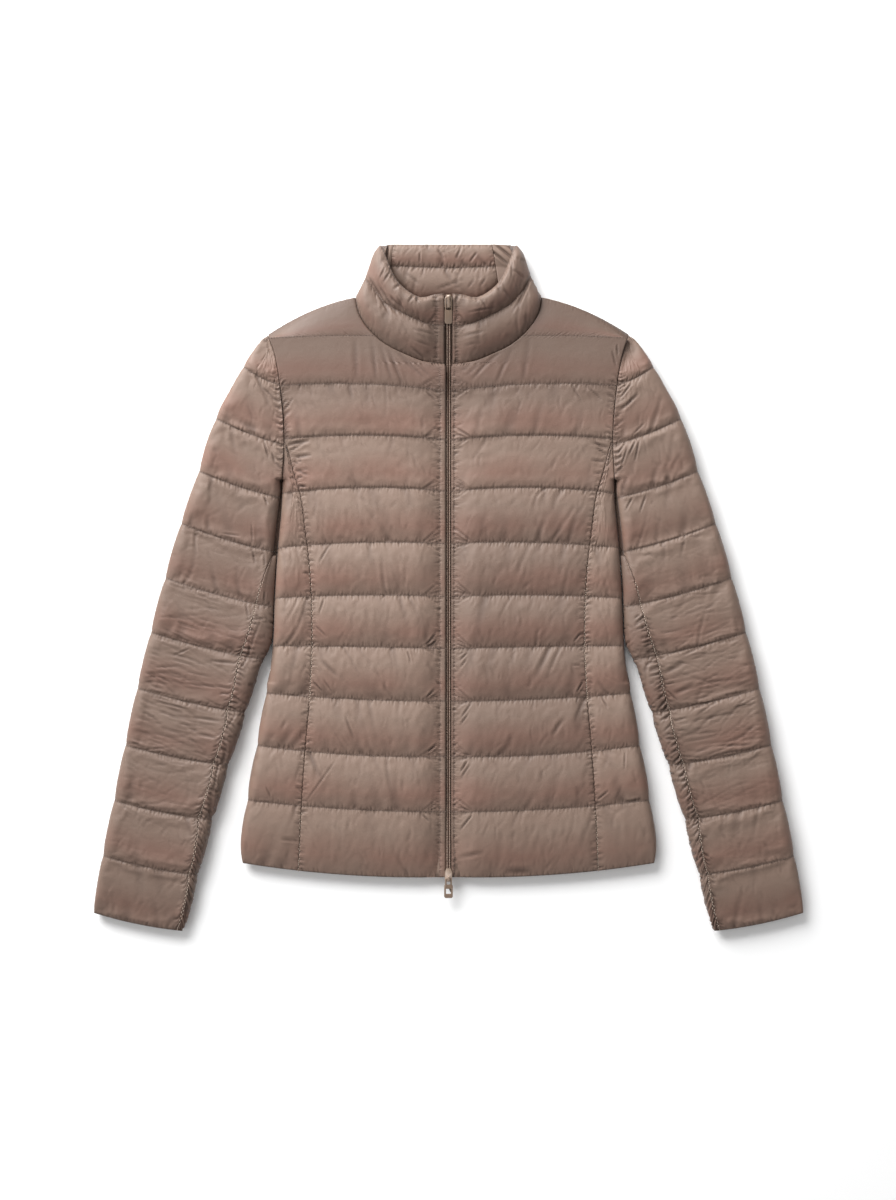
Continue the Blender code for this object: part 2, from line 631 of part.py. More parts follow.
def sleeve_under(side):
    """The under sleeve: from the front seam, round the inner edge to the hidden back seam."""
    outside, inside = [], []
    for place in sleeve_places():
        start, end = sleeve_ends(place)
        width = float(np.linalg.norm(end - start))
        in_armhole = start[1] > ARMHOLE_FROM_Y
        scale = min(1.0, width / SLEEVE_NARROW)
        inset = seam_inset(start[1])
        back = SLEEVE_BACK_SEAM - SEAM_GAP / 2 / width
        if inset:
            begin = inset - SEAM_GAP / 2
            distances = (begin, begin * 0.55, begin * 0.2, 0.0)
            outer_steps = [(d / width, sleeve_height(place, d, width, False)) for d in distances]
            outer_steps[-1] = (0.0, FRONT_INSIDE)
            fold = min(SLEEVE_FOLD_IN, 0.6 * begin) / width
            inner_steps = [(begin / width, FRONT_INSIDE), (fold, FRONT_INSIDE), (fold, BACK_TOP)]
        else:
            outer_steps = [(0.0, BACK_TOP * s) for s in HIDDEN_SEAM_EDGE]
            inner_steps = [(0.0, BACK_TOP), (2.0 * scale / width, BACK_TOP), (4.0 * scale / width, BACK_TOP)]
        edge_steps = [(0.0, BACK_TOP * s) for s in ARMHOLE_EDGE] if in_armhole else turned_edge(width, scale)
        outside.append(sleeve_points(start, end, [*outer_steps, *edge_steps, (back, 0.0)]))
        inside.append(sleeve_points(start, end, [*inner_steps, (back, BACK_TOP)]))
    return padded_wall(f"sleeve_under_{side.name}", mirrored(outside, side.sign), mirrored(inside, side.sign))


# ---------------------------------------------------------------- collar


def collar_row(height, share):
    """A point of the front collar at a height of 0 (neckline) to 2 (top edge) and a share of the row."""
    rows = (NECKLINE, COLLAR_MIDDLE, COLLAR_TOP)
    i = min(int(height), 1)
    low = path_point(rows[i], share, COLLAR_SEAM_GAP / 2 if i == 0 else 0.0)
    if i == 0:
        low = low + np.array([0, COLLAR_SEAM_GAP * share])
    high = path_point(rows[i + 1], share)
    return low + (high - low) * (height - i)


def collar_lift(height, share):
    """How far the front collar's inside stands off the back at a height and a share of the row."""
    rise_y = collar_row(height, share)[1] - collar_row(0.0, share)[1]
    return COLLAR_SLOPE * rise_y * max(math.cos(share * math.pi / 2), 0.0) ** COLLAR_LIFT_POWER


def back_neck_y(x):
    """The back neckline's y, straight between the back panel's points."""
    xs = (0.0, BACK_NECK_SIDE.x, NECKLINE[-1].x)
    return float(np.interp(abs(x), xs, (BACK_NECK_CENTRE_Y, BACK_NECK_SIDE.y, NECKLINE[-1].y)))


def back_collar_y(x, height):
    """The y of a point of the back collar at a height, from its neckline up to its straight top edge."""
    base = back_neck_y(x) + COLLAR_SEAM_GAP
    return base + (BACK_COLLAR_TOP_Y - base) * height / COLLAR_CHANNELS


def back_collar_seam(height, side):
    """The point of the seam inside the back collar at a height."""
    seam = COLLAR_SEAMS[side.name]
    x = seam.neck_x + (seam.top_x - seam.neck_x) * height / COLLAR_CHANNELS
    return np.array([x, back_collar_y(x, height)])


def collar_heights():
    """Heights of the rows of points up the collar."""
    return [i + step for i in range(COLLAR_CHANNELS) for step in CHANNEL_STEPS] + [float(COLLAR_CHANNELS)]


def collar_wall(height):
    """The collar's wall between its crowns: thin at the seams, rounded at the top edge."""
    return STITCHED_WALL if height < COLLAR_CHANNELS else END_WALL


def collar_front(side):
    """A front collar piece: from the zip up over the neck, round the folded side to a seam inside."""
    outside, inside = [], []
    for height in collar_heights():
        fold = collar_row(height, 1.0)
        seam = back_collar_seam(height, side) + np.array([SEAM_GAP / 2, 0])
        length = fold[0] - ZIP_OPENING
        row = []
        for d in spread(length, NEAR_ZIP, NEAR_FOLD, 5):
            share = d / length
            tall = wall_height(collar_wall(height), COLLAR_LOFT, height % 1, (ZIP_EDGE, FOLDED_EDGE), (d, length - d))
            cover = COLLAR_REBATE + COLLAR_COVER if d < TAPE_REACH else 0.0
            row.append((*collar_row(height, share), FRONT_INSIDE + collar_lift(height, share) + max(tall, cover)))
        back = seam - fold
        reach = float(np.linalg.norm(back))
        raised = COLLAR_EDGE_RISE * BACK_TOP if height == COLLAR_CHANNELS else 0.0
        row += [(*(fold + back * s), max(z, raised)) for s, z in (*turned_edge(reach), (1.0, 0.0))]
        outside.append(row)
        rebate_end = (TAPE_REACH - ZIP_OPENING + REBATE_CLEAR) / length
        fold_in = SEAM_GAP + (COLLAR_FOLD_IN - SEAM_GAP) * min(height, 1.0)
        steps = (
            (0.0, COLLAR_REBATE), (rebate_end, COLLAR_REBATE), (rebate_end + REBATE_STEP / length, 0.0),
            (0.45, 0.0), (1 - fold_in / length, 0.0),
        )
        inside.append([
            *[(*collar_row(height, s), FRONT_INSIDE + collar_lift(height, s) + step) for s, step in steps],
            (*(fold + back * fold_in / reach), BACK_TOP),
            (*seam, BACK_TOP),
        ])
    return padded_wall(f"collar_front_{side.name}", mirrored(outside, side.sign), mirrored(inside, side.sign))


def collar_back():
    """The back collar: lies on the surface with its inside up, its top edge rounded up off the surface."""
    outside, inside = [], []
    for height in collar_heights():
        left, right = (back_collar_seam(height, side)[0] - SEAM_GAP / 2 for side in SIDES)
        xs = (-right, -0.5 * right, 0.0, 0.5 * left, left)
        row = [(x, back_collar_y(x, height)) for x in xs]
        top_edge = height == COLLAR_CHANNELS
        outside.append([(x, y, COLLAR_EDGE_RISE * BACK_TOP if top_edge else 0.0) for x, y in row])
        inside.append([(x, y, BACK_TOP) for x, y in row])
    return padded_wall("collar_back", outside, inside)


# ---------------------------------------------------------------- zip


def zip_path():
    """The zip's course as (y, lift) from the hem to the top of the collar."""
    return ((ZIP_BOTTOM_Y, 0.0), (NECK_CENTRE_Y, 0.0), (ZIP_TOP_Y, COLLAR_STAND))


def zip_strip(name, from_x, to_x, bottom, top, finish):
    """A flat strip of the zip between two x and two heights, along its course."""
    upper, lower = [], []
    for y, lift in zip_path():
        upper.append([(x, y, top + lift) for x in (from_x, to_x)])
        lower.append([(x, y, bottom + lift) for x in (from_x, to_x)])
    return padded_wall(name, upper, lower, finish)


def block(bm, x0, x1, y0, y1, z0, z1):
    """Adds a box between two corners."""
    made = bmesh.ops.create_cube(bm, size=1.0)
    for v in made["verts"]:
        v.co = Vector((
            (x0 + x1) / 2 + v.co.x * (x1 - x0),
            (y0 + y1) / 2 + v.co.y * (y1 - y0),
            (z0 + z1) / 2 + v.co.z * (z1 - z0),
        )) * MM


def extruded(bm, outline, low, high, across):
    """Adds a prism: an outline of (u, v) points, extruded along x or along z."""
    def place(u, v, w):
        return Vector((w, u, v) if across == "x" else (u, v, w)) * MM

    rings = [[bm.verts.new(place(u, v, w)) for u, v in outline] for w in (low, high)]
    bm.faces.new(rings[0])
    bm.faces.new(list(reversed(rings[1])))
    count = len(outline)
    for i in range(count):
        bm.faces.new((rings[0][i], rings[1][i], rings[1][(i + 1) % count], rings[0][(i + 1) % count]))


def tool_object(name, build):
    """A hidden object that a Boolean cuts or joins with."""
    bm = bmesh.new()
    build(bm)
    made = add_object(name, bm, METAL)
    made.hide_render = True
    made.display_type = "WIRE"
    return made


def boolean(target, tool, operation):
    """Joins or cuts an object with a hidden one that moves with it."""
    tool.parent = target
    modifier = target.modifiers.new(operation.title(), "BOOLEAN")
    modifier.operation = operation
    modifier.object = tool
    modifier.solver = "EXACT"


def slider_body(spec):
    """A slider: a plate over the coil, a flange down each side of it and a bail on top."""
    half = SLIDER_LENGTH / 2
    plate_top = SLIDER_CLEAR + PLATE_THICK
    bm = bmesh.new()
    outline = (
        (-SLIDER_HALF, -half + 1.5), (-SLIDER_NOSE, -half), (SLIDER_NOSE, -half), (SLIDER_HALF, -half + 1.5),
        (SLIDER_HALF, half - 4.0), (SLIDER_NOSE, half), (-SLIDER_NOSE, half), (-SLIDER_HALF, half - 4.0),
    )
    extruded(bm, outline, SLIDER_CLEAR, plate_top, "z")
    body = add_object(f"slider_{spec.name}", bm, METAL)

    def flanges(cut):
        for sign in (-1, 1):
            xs = sorted((sign * FLANGE_IN, sign * FLANGE_OUT))
            block(cut, *xs, -half + 2.0, half - 4.5, SLIDER_CLEAR - FLANGE_DROP, plate_top - 0.4)

    def bail(cut):
        low, top = plate_top - 0.5, BAIL_CLEAR_TOP
        start, end = spec.axis_offset - spec.bail_low, spec.axis_offset + BAIL_INSIDE + BAIL_THICK
        inner_start, inner_end = start + BAIL_THICK, end - BAIL_THICK
        arch = (
            (start, low), (inner_start, low), (inner_start, top - BAIL_CORNER), (inner_start + BAIL_CORNER, top),
            (inner_end - BAIL_CORNER, top), (inner_end, top - BAIL_CORNER), (inner_end, low), (end, low),
            (end, top), (end - BAIL_SHOULDER, top + BAIL_THICK), (start + BAIL_SHOULDER, top + BAIL_THICK),
            (start, top),
        )
        extruded(cut, arch, -BAIL_HALF, BAIL_HALF, "x")

    boolean(body, tool_object(f"slider_{spec.name}_flanges", flanges), "UNION")
    boolean(body, tool_object(f"slider_{spec.name}_bail", bail), "UNION")
    body.location = place_on_zip(spec, 0.0, 0.0)
    body.rotation_euler = (spec.slope, 0, 0)
    return body


def place_on_zip(spec, along, up):
    """A place in a slider's own frame, which follows the zip's slope, as a point in the scene."""
    lift = COLLAR_SLOPE * max(spec.y - NECK_CENTRE_Y, 0.0)
    cos, sin = math.cos(spec.slope), math.sin(spec.slope)
    return (Vector((0, spec.y, COIL_TOP + lift)) + Vector((0, cos, sin)) * along + Vector((0, -sin, cos)) * up) * MM


def pull_tab(spec):
    """A pull: an eye that turns on its bar in the bail, and a plain tab with cut corners."""
    bm = bmesh.new()
    half, length, neck = spec.pull_half_width, spec.pull_length, PULL_NECK_HALF
    shoulder = spec.eye.far + PULL_SHOULDER
    right = (
        (neck - PULL_CORNER, PULL_BAR), (neck, -PULL_BAR), (neck, -spec.eye.far), (half, -shoulder),
        (half, -length + PULL_CORNER), (half - PULL_CORNER, -length),
    )
    outline = right + tuple((-x, y) for x, y in reversed(right))
    extruded(bm, outline, -PULL_THICK / 2, PULL_THICK / 2, "z")
    tab = add_object(f"pull_{spec.name}", bm, METAL)

    def openings(cut):
        for span in filter(None, (spec.eye, spec.window)):
            block(cut, -span.half_width, span.half_width, -span.far, -span.near, -PULL_THICK, PULL_THICK)

    boolean(tab, tool_object(f"pull_{spec.name}_openings", openings), "DIFFERENCE")
    tab.location = place_on_zip(spec, spec.axis_offset, AXIS_HEIGHT)
    tab.rotation_euler = (spec.slope + spec.pull_drop, 0, 0)
    return tab


def zip_parts():
    """The zip: two tapes under the fronts, the closed coil over their meeting, sliders and pulls."""
    tape_top = FRONT_INSIDE + TAPE_THICK
    for side in SIDES:
        xs = sorted((side.sign * TAPE_BUTT, side.sign * TAPE_REACH))
        zip_strip(f"zip_tape_{side.name}", *xs, FRONT_INSIDE, tape_top, TAPE)
    zip_strip("zip_chain", -COIL_HALF, COIL_HALF, COIL_BOTTOM, COIL_TOP, COIL)
    for spec in SLIDERS:
        slider_body(spec)
        pull_tab(spec)


def main():
    """Builds the jacket from an empty scene."""
    for old in list(bpy.data.objects):
        bpy.data.objects.remove(old)
    back_panel()
    collar_back()
    for side in SIDES:
        front_centre(side)
        front_side(side)
        sleeve_top(side)
        sleeve_under(side)
        collar_front(side)
    zip_parts()


main()
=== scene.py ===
"""The looks of a women's light puffer jacket, zipped up and laid flat on its back, sleeves down at its sides.

Lengths are in millimetres until a mesh is made. +X is the wearer's left, +Y runs from the hem to the collar
and +Z is up from the surface. A padded piece is a dense grid for its quilted outside, which Blender's Cloth
puffs up between its stitches, and a plain grid for its inside. Puckers and folds are pressed into the cloth.
"""

import logging
import math
from collections.abc import Callable, Iterable, Iterator, Sequence
from dataclasses import dataclass, field, replace
from enum import Enum
from functools import partial
from typing import NamedTuple

import bmesh
import bpy
import numpy as np
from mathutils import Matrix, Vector


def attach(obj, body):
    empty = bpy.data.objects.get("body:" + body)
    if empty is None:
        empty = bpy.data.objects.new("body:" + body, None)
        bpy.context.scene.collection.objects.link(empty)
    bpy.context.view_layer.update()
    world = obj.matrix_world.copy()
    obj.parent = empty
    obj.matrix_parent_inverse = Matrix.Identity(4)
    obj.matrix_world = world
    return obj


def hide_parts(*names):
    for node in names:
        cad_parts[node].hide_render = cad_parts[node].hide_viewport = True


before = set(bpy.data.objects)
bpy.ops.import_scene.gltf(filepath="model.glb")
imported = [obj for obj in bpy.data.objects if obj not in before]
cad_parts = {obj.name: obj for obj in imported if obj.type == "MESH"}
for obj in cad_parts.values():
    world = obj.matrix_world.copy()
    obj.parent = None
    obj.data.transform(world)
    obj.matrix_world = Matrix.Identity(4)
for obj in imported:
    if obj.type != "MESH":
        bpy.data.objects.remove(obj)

LOG = logging.getLogger("jacket")
MM = 0.001

Grid = np.ndarray
Range = tuple[float, float]
Pairs = tuple[Range, ...]
Rows = tuple[tuple[float, ...], ...]
Weights = dict[int, float] | None


# ------------------------------------------------------------------ small tools


class Side(Enum):
    """The wearer's left, on +X, and right."""

    LEFT = 1
    RIGHT = -1

    @property
    def word(self) -> str:
        """The side's name in small letters."""
        return self.name.lower()


class Body(Enum):
    """The bodies that pieces ride on."""

    JACKET = "jacket"
    PULL_TOP = "pull_top"
    PULL_BOTTOM = "pull_bottom"


class Slot(Enum):
    """The record's material slots."""

    SATIN = "satin"
    TAPE = "tape"
    COIL = "coil"
    METAL = "metal"


@dataclass(frozen=True)
class Curve:
    """A smooth curve through (place, value) stations at rising places."""

    stations: Pairs

    def read(self, place: float | Grid) -> Grid:
        """The value at one place or at each of an array, held at the curve's ends beyond them."""
        places, values = np.array(self.stations, float).T
        slopes = np.gradient(values, places)
        p = np.clip(place, places[0], places[-1])
        i = np.clip(np.searchsorted(places, p) - 1, 0, len(places) - 2)
        span = places[i + 1] - places[i]
        t = (p - places[i]) / span
        return (
            (2 * t**3 - 3 * t**2 + 1) * values[i]
            + (t**3 - 2 * t**2 + t) * span * slopes[i]
            + (3 * t**2 - 2 * t**3) * values[i + 1]
            + (t**3 - t**2) * span * slopes[i + 1]
        )


@dataclass(frozen=True)
class Path:
    """A smooth line through points, read by the share of its length."""

    points: Pairs

    def at(self, share: float | Grid, offset: float = 0.0) -> Grid:
        """Points at shares of the length, moved to the line's left, with x and y on the last axis."""
        xy = np.array(self.points, float)
        run = np.concatenate([[0.0], np.cumsum(np.linalg.norm(np.diff(xy, axis=0), axis=1))])
        run /= run[-1]
        curves = [Curve(tuple(zip(run, xy[:, axis]))) for axis in (0, 1)]

        def read(s: Grid) -> Grid:
            """Both coordinates at some shares."""
            return np.stack([c.read(s) for c in curves], axis=-1)

        share = np.asarray(share, float)
        along = read(np.minimum(share + 0.01, 1.0)) - read(np.maximum(share - 0.01, 0.0))
        along /= np.linalg.norm(along, axis=-1, keepdims=True)
        return read(share) + offset * np.stack([-along[..., 1], along[..., 0]], axis=-1)


def linear(code: str, factor: float = 1.0) -> tuple[float, float, float, float]:
    """Turns an sRGB hex colour into linear RGB, times a factor, with an alpha of 1."""
    values = [int(code[i : i + 2], 16) / 255 for i in (1, 3, 5)]
    return (*[factor * (v / 12.92 if v <= 0.04045 else ((v + 0.055) / 1.055) ** 2.4) for v in values], 1.0)


def plug(tree: bpy.types.NodeTree, node: bpy.types.Node, inputs: dict) -> None:
    """Puts a value or another node's output into each of a node's sockets, by name or number."""
    for key, value in inputs.items():
        if isinstance(value, bpy.types.NodeSocket):
            tree.links.new(value, node.inputs[key])
        else:
            node.inputs[key].default_value = value


def add_node(
    tree: bpy.types.NodeTree, kind: str, inputs: dict | None = None, out: str | int = 0, **settings
) -> bpy.types.NodeSocket:
    """Adds a node to a tree.

    Args:
        tree: the node tree.
        kind: the node's type.
        inputs: what goes into its sockets.
        out: the output to give back, by name or number.
        settings: the node's own properties.

    Returns:
        The output.
    """
    node = tree.nodes.new(kind)
    for name, value in settings.items():
        setattr(node, name, value)
    plug(tree, node, inputs or {})
    return node.outputs[out]


def arc_lengths(points: Grid, axis: int) -> Grid:
    """The distance run along the rows (axis 1) or the columns (axis 0) of a grid of points."""
    steps = np.linalg.norm(np.diff(points, axis=axis), axis=2)
    return np.insert(np.cumsum(steps, axis=axis), 0, 0.0, axis=axis)


def grid_faces(index: Grid) -> list[list[int]]:
    """The quads between the rows and columns of a grid of vertex numbers."""
    corners = index[:-1, :-1], index[:-1, 1:], index[1:, 1:], index[1:, :-1]
    return np.stack(corners, axis=-1).reshape(-1, 4).tolist()


def link(name: str, data: bpy.types.ID) -> bpy.types.Object:
    """Links an object with some data into the scene."""
    made = bpy.data.objects.new(name, data)
    bpy.context.collection.objects.link(made)
    return made


def applied(rough: bpy.types.Object, name: str) -> bpy.types.Object:
    """Replaces an object that has a modifier by a plain mesh object with the result."""
    plain = bpy.data.meshes.new_from_object(rough.evaluated_get(bpy.context.evaluated_depsgraph_get()))
    mesh = rough.data
    bpy.data.objects.remove(rough)
    bpy.data.meshes.remove(mesh)
    plain.name = name
    return link(name, plain)


# ------------------------------------------------------------------ finishes


@dataclass(frozen=True)
class Finish:
    """A material with one colour of its own."""

    name: str
    colour: str

    def shade(self, add: Callable) -> dict:
        """What goes into the shader's sockets; add puts a node into the material's tree."""
        raise NotImplementedError

    def material(self) -> bpy.types.Material:
        """The finish's material, made at its first use."""
        made = bpy.data.materials.get(self.name)
        if not made:
            made = bpy.data.materials.new(self.name)
            made.use_nodes = True
            made.diffuse_color = linear(self.colour)
            tree = made.node_tree
            plug(tree, tree.nodes["Principled BSDF"], self.shade(partial(add_node, tree)))
        return made


@dataclass(frozen=True)
class SatinNylon(Finish):
    """Light woven polyamide with a satin face, calendered: a broad soft gloss, and a faint shift to pink
    painted low in each channel as a shade tint.

    Its threads are 0.05 mm, too fine to show, so the weave is drawn as a 0.9 mm grain that is barely there.
    """

    name: str = "woven satin nylon"
    colour: str = "#776357"
    # pink is a painted shade tint, in random patches, for the lower part of each channel, which turns from
    # the light
    pink: str = "#7A594D"
    pale: str = "#7D6B5F"
    # deep is the colour of painted shade: in creases, at stitch lines and edges, in gathers and where a piece
    # turns from the light
    deep: str = "#3E2E27"
    crease_shade_share: float = 0.55
    wrinkle_mm: float = 9.0
    grain_mm: float = 0.9
    gather_mm: float = 1.9
    gather_shade_share: float = 0.16

    def gathers(self, add: Callable) -> bpy.types.NodeSocket:
        """Fine gathers across stitch lines and seams: 1 in their hollows, fading away from the stitches."""
        total: bpy.types.NodeSocket | float = 0.0
        for name in ("line_ticks", "seam_ticks"):
            place = add("ShaderNodeAttribute", out="Vector", attribute_name=name)
            strength = add("ShaderNodeSeparateXYZ", {"Vector": place}, "Z")
            noise = add("ShaderNodeTexNoise", {"Vector": place, "Scale": 1 / self.gather_mm, "Detail": 1.0})
            hollow = add("ShaderNodeMapRange", {"Value": noise, "From Min": 0.4, "From Max": 0.68})
            faded = add("ShaderNodeMath", {0: hollow, 1: strength}, operation="MULTIPLY")
            total = add("ShaderNodeMath", {0: total, 1: faded}, operation="ADD")
        return total

    def colours(self, add: Callable, place, tone, gathers) -> bpy.types.NodeSocket:
        """The satin's colour: paler patches, and painted shade: pinker patches low in each channel, dark
        creases and gathers.
        """
        low = add("ShaderNodeAttribute", out="Fac", attribute_name="channel")
        blotches = {"Vector": place, "Scale": 17.0, "Detail": 2.0, "Roughness": 0.45}
        patches = add("ShaderNodeTexNoise", blotches)
        amount = add("ShaderNodeMath", {0: patches, 1: low}, operation="MULTIPLY")
        crease = add("ShaderNodeAttribute", out="Fac", attribute_name="crease")
        paleness = {"Value": tone, "From Min": 0.45, "From Max": 0.8, "To Max": 0.55}
        pinkness = {"Value": amount, "From Min": 0.12, "From Max": 0.55, "To Max": 0.62}
        shares = (
            (add("ShaderNodeMapRange", paleness), self.pale),
            (add("ShaderNodeMapRange", pinkness), self.pink),
            (add("ShaderNodeMath", {0: crease, 1: self.crease_shade_share}, operation="MULTIPLY"), self.deep),
            (add("ShaderNodeMath", {0: gathers, 1: self.gather_shade_share}, operation="MULTIPLY"), self.deep),
        )
        colour: bpy.types.NodeSocket | tuple = linear(self.colour)
        for share, code in shares:
            colour = add("ShaderNodeMix", {"Factor": share, 6: colour, 7: linear(code)}, 2, data_type="RGBA")
        return colour

    def shade(self, add: Callable) -> dict:
        """Pink low in each channel and dark creases, both painted shade; slack wrinkles, a grain and the
        gloss.
        """
        place = add("ShaderNodeTexCoord", out="Object")
        tone = add("ShaderNodeTexNoise", {"Vector": place, "Scale": 42.0, "Detail": 3.0, "Roughness": 0.5})
        gathers = self.gathers(add)
        slack = add("ShaderNodeTexNoise", {
            "Vector": place, "Scale": 1 / (self.wrinkle_mm * MM), "Detail": 3.0, "Roughness": 0.55,
            "Distortion": 0.6,
        })
        grain = add("ShaderNodeTexNoise", {"Vector": place, "Scale": 1 / (self.grain_mm * MM), "Detail": 1.0})
        normal = add("ShaderNodeBump", {"Height": slack, "Strength": 0.35, "Distance": 0.0009})
        grained = {"Height": grain, "Strength": 0.1, "Distance": 0.0001, "Normal": normal}
        normal = add("ShaderNodeBump", grained)
        gathered = {"Height": gathers, "Strength": 0.5, "Distance": 0.0008, "Normal": normal}
        gloss = {"Value": tone, "From Min": 0.3, "From Max": 0.7, "To Min": 0.54, "To Max": 0.62}
        return {
            "Base Color": self.colours(add, place, tone, gathers),
            "Normal": add("ShaderNodeBump", gathered, invert=True),
            "Roughness": add("ShaderNodeMapRange", gloss),
            "Specular IOR Level": 0.35, "Sheen Weight": 0.1, "Sheen Roughness": 0.35, "IOR": 1.53,
        }


@dataclass(frozen=True)
class Thread(Finish):
    """Spun polyester sewing thread: matt, with its twist showing as a fine slanted ribbing."""

    name: str = "polyester sewing thread"
    colour: str = "#665146"
    twist_mm: float = 0.6

    def shade(self, add: Callable) -> dict:
        """Ribs of the twist, with painted shade in their hollows."""
        place = add("ShaderNodeTexCoord", out="Object")
        twist = {"Vector": place, "Scale": 0.3 / (self.twist_mm * MM), "Distortion": 1.0}
        ribs = add("ShaderNodeTexWave", twist, "Fac", bands_direction="DIAGONAL")
        tones = {"Factor": ribs, 6: linear(self.colour, 0.72), 7: linear(self.colour)}
        return {
            "Base Color": add("ShaderNodeMix", tones, 2, data_type="RGBA"),
            "Normal": add("ShaderNodeBump", {"Height": ribs, "Strength": 0.4, "Distance": 0.0001}),
            "Roughness": 0.72, "Sheen Weight": 0.3,
        }


@dataclass(frozen=True)
class WovenTape(Finish):
    """Polyester zip tape: a close herringbone weave, matt."""

    name: str = "woven polyester zip tape"
    colour: str = "#6B5549"
    weave_mm: float = 0.8

    def shade(self, add: Callable) -> dict:
        """Two crossed ribbings for the weave."""
        weave = {"Vector": add("ShaderNodeTexCoord", out="Object"), "Scale": 0.3 / (self.weave_mm * MM)}
        waves = [add("ShaderNodeTexWave", weave, "Fac", bands_direction=axis) for axis in ("X", "Y")]
        crossed = add("ShaderNodeMath", {0: waves[0], 1: waves[1]}, operation="MULTIPLY")
        tones = {"Factor": crossed, 6: linear(self.colour, 0.6), 7: linear(self.colour)}
        return {
            "Base Color": add("ShaderNodeMix", tones, 2, data_type="RGBA"),
            "Normal": add("ShaderNodeBump", {"Height": crossed, "Strength": 0.5, "Distance": 0.00015}),
            "Roughness": 0.8,
        }


@dataclass(frozen=True)
class NylonCoil(Finish):
    """Extruded polyamide monofilament of the zip's coil: smooth and half glossy."""

    name: str = "dark nylon coil"
    colour: str = "#5A4337"

    def shade(self, add: Callable) -> dict:
        """Slightly uneven dye under a smooth surface."""
        place = add("ShaderNodeTexCoord", out="Object")
        dye = add("ShaderNodeTexNoise", {"Vector": place, "Scale": 300.0, "Detail": 2.0})
        tones = {"Factor": dye, 6: linear(self.colour, 0.7), 7: linear(self.colour, 1.25)}
        dyed = add("ShaderNodeMix", tones, 2, data_type="RGBA")
        return {"Base Color": dyed, "Roughness": 0.48, "IOR": 1.53}


@dataclass(frozen=True)
class EnamelledZinc(Finish):
    """Die-cast zinc under a thin baked enamel: even pinkish brown and a fine orange peel, with a painted
    highlight on its sharp edges.
    """

    name: str = "enamelled zinc"
    colour: str = "#85705F"
    edge_highlight: str = "#B7A598"
    peel_mm: float = 0.7

    def shade(self, add: Callable) -> dict:
        """Enamel, paler at its sharp edges as a painted highlight, over a fine orange peel."""
        sharp = add("ShaderNodeNewGeometry", out="Pointiness")
        # Painted highlight: the sharp edges are paler
        edges = add("ShaderNodeMapRange", {"Value": sharp, "From Min": 0.52, "From Max": 0.62})
        mix = {"Factor": edges, 6: linear(self.colour), 7: linear(self.edge_highlight)}
        place = add("ShaderNodeTexCoord", out="Object")
        peel = add("ShaderNodeTexNoise", {"Vector": place, "Scale": 1 / (self.peel_mm * MM), "Detail": 1.0})
        return {
            "Base Color": add("ShaderNodeMix", mix, 2, data_type="RGBA"),
            "Normal": add("ShaderNodeBump", {"Height": peel, "Strength": 0.15, "Distance": 0.00005}),
            "Roughness": 0.4, "Metallic": 0.3, "Coat Weight": 0.25, "Coat Roughness": 0.15,
        }


@dataclass(frozen=True)
class StudioFloor(Finish):
    """A sheet of matt white paper that the jacket lies on."""

    name: str = "matt white paper"
    colour: str = "#FAFAFA"
    fibre: str = "#F7F7F7"

    def shade(self, add: Callable) -> dict:
        """White with a faint fibre."""
        place = add("ShaderNodeTexCoord", out="Object")
        fibres = add("ShaderNodeTexNoise", {"Vector": place, "Scale": 900.0, "Detail": 2.0})
        tones = {"Factor": fibres, 6: linear(self.fibre), 7: linear(self.colour)}
        white = add("ShaderNodeMix", tones, 2, data_type="RGBA")
        return {"Base Color": white, "Roughness": 0.9, "Specular IOR Level": 0.1}


SATIN, THREAD, TAPE, COIL = SatinNylon(), Thread(), WovenTape(), NylonCoil()
RIDGE = Thread(name="zip sewing thread", colour="#9C8575")
TOPSTITCH = Thread(name="seam sewing thread", colour="#B09C8C")
ENAMEL, PAPER = EnamelledZinc(), StudioFloor()


# ------------------------------------------------------------------ the cut


@dataclass(frozen=True)
class Layers:
    """Heights, walls and gaps that all the pieces share."""

    back_top: float = 8.7
    front_inside: float = 9.0
    stitched_wall: float = 8.0
    end_wall: float = 2.0
    folded_wall: float = 1.5
    edge_round: float = 9.0
    seam_gap: float = 0.3
    curved_gap: float = 0.5
    armhole_gap: float = 0.12
    collar_gap: float = 0.6
    seam_round: float = 1.4  # how wide and deep an edge turns in at a seam
    pressed_over: float = 24.0  # how far a strip that is pressed down takes to rise
    touch: float = 0.06  # half the gap that shows at a seam
    slot_in: float = 1.3  # how far the facings reach over the tapes towards the coil
    rebate: float = 1.1
    collar_rebate: float = 1.6
    zip_opening: float = 4.3
    tape_reach: float = 12.0
    zip_bottom_y: float = -304.0
    neck_centre_y: float = 234.5
    zip_top_y: float = 306.0
    collar_stand: float = 20.0

    @property
    def collar_slope(self) -> float:
        """The rise of the front collar for each millimetre up it."""
        return self.collar_stand / (self.zip_top_y - self.neck_centre_y)

    @property
    def tape_step(self) -> float:
        """How far in from the zip's edge an inside is stepped up over the tape."""
        return self.tape_reach - self.zip_opening + 0.5


LAYERS = Layers()
FACING = 4  # the column of the facing strip's stitches beside the zip
# Distances of the columns that lie close to an edge.
NEAR_SEAM = (0, 0.3, 0.7, 1.2, 1.9, 2.7)
NEAR_FOLD = (0, 0.12, 0.45, 1.0, 1.8, 2.8, 4.0, 5.4, 7.0, 8.8, 10.6, 12.5)


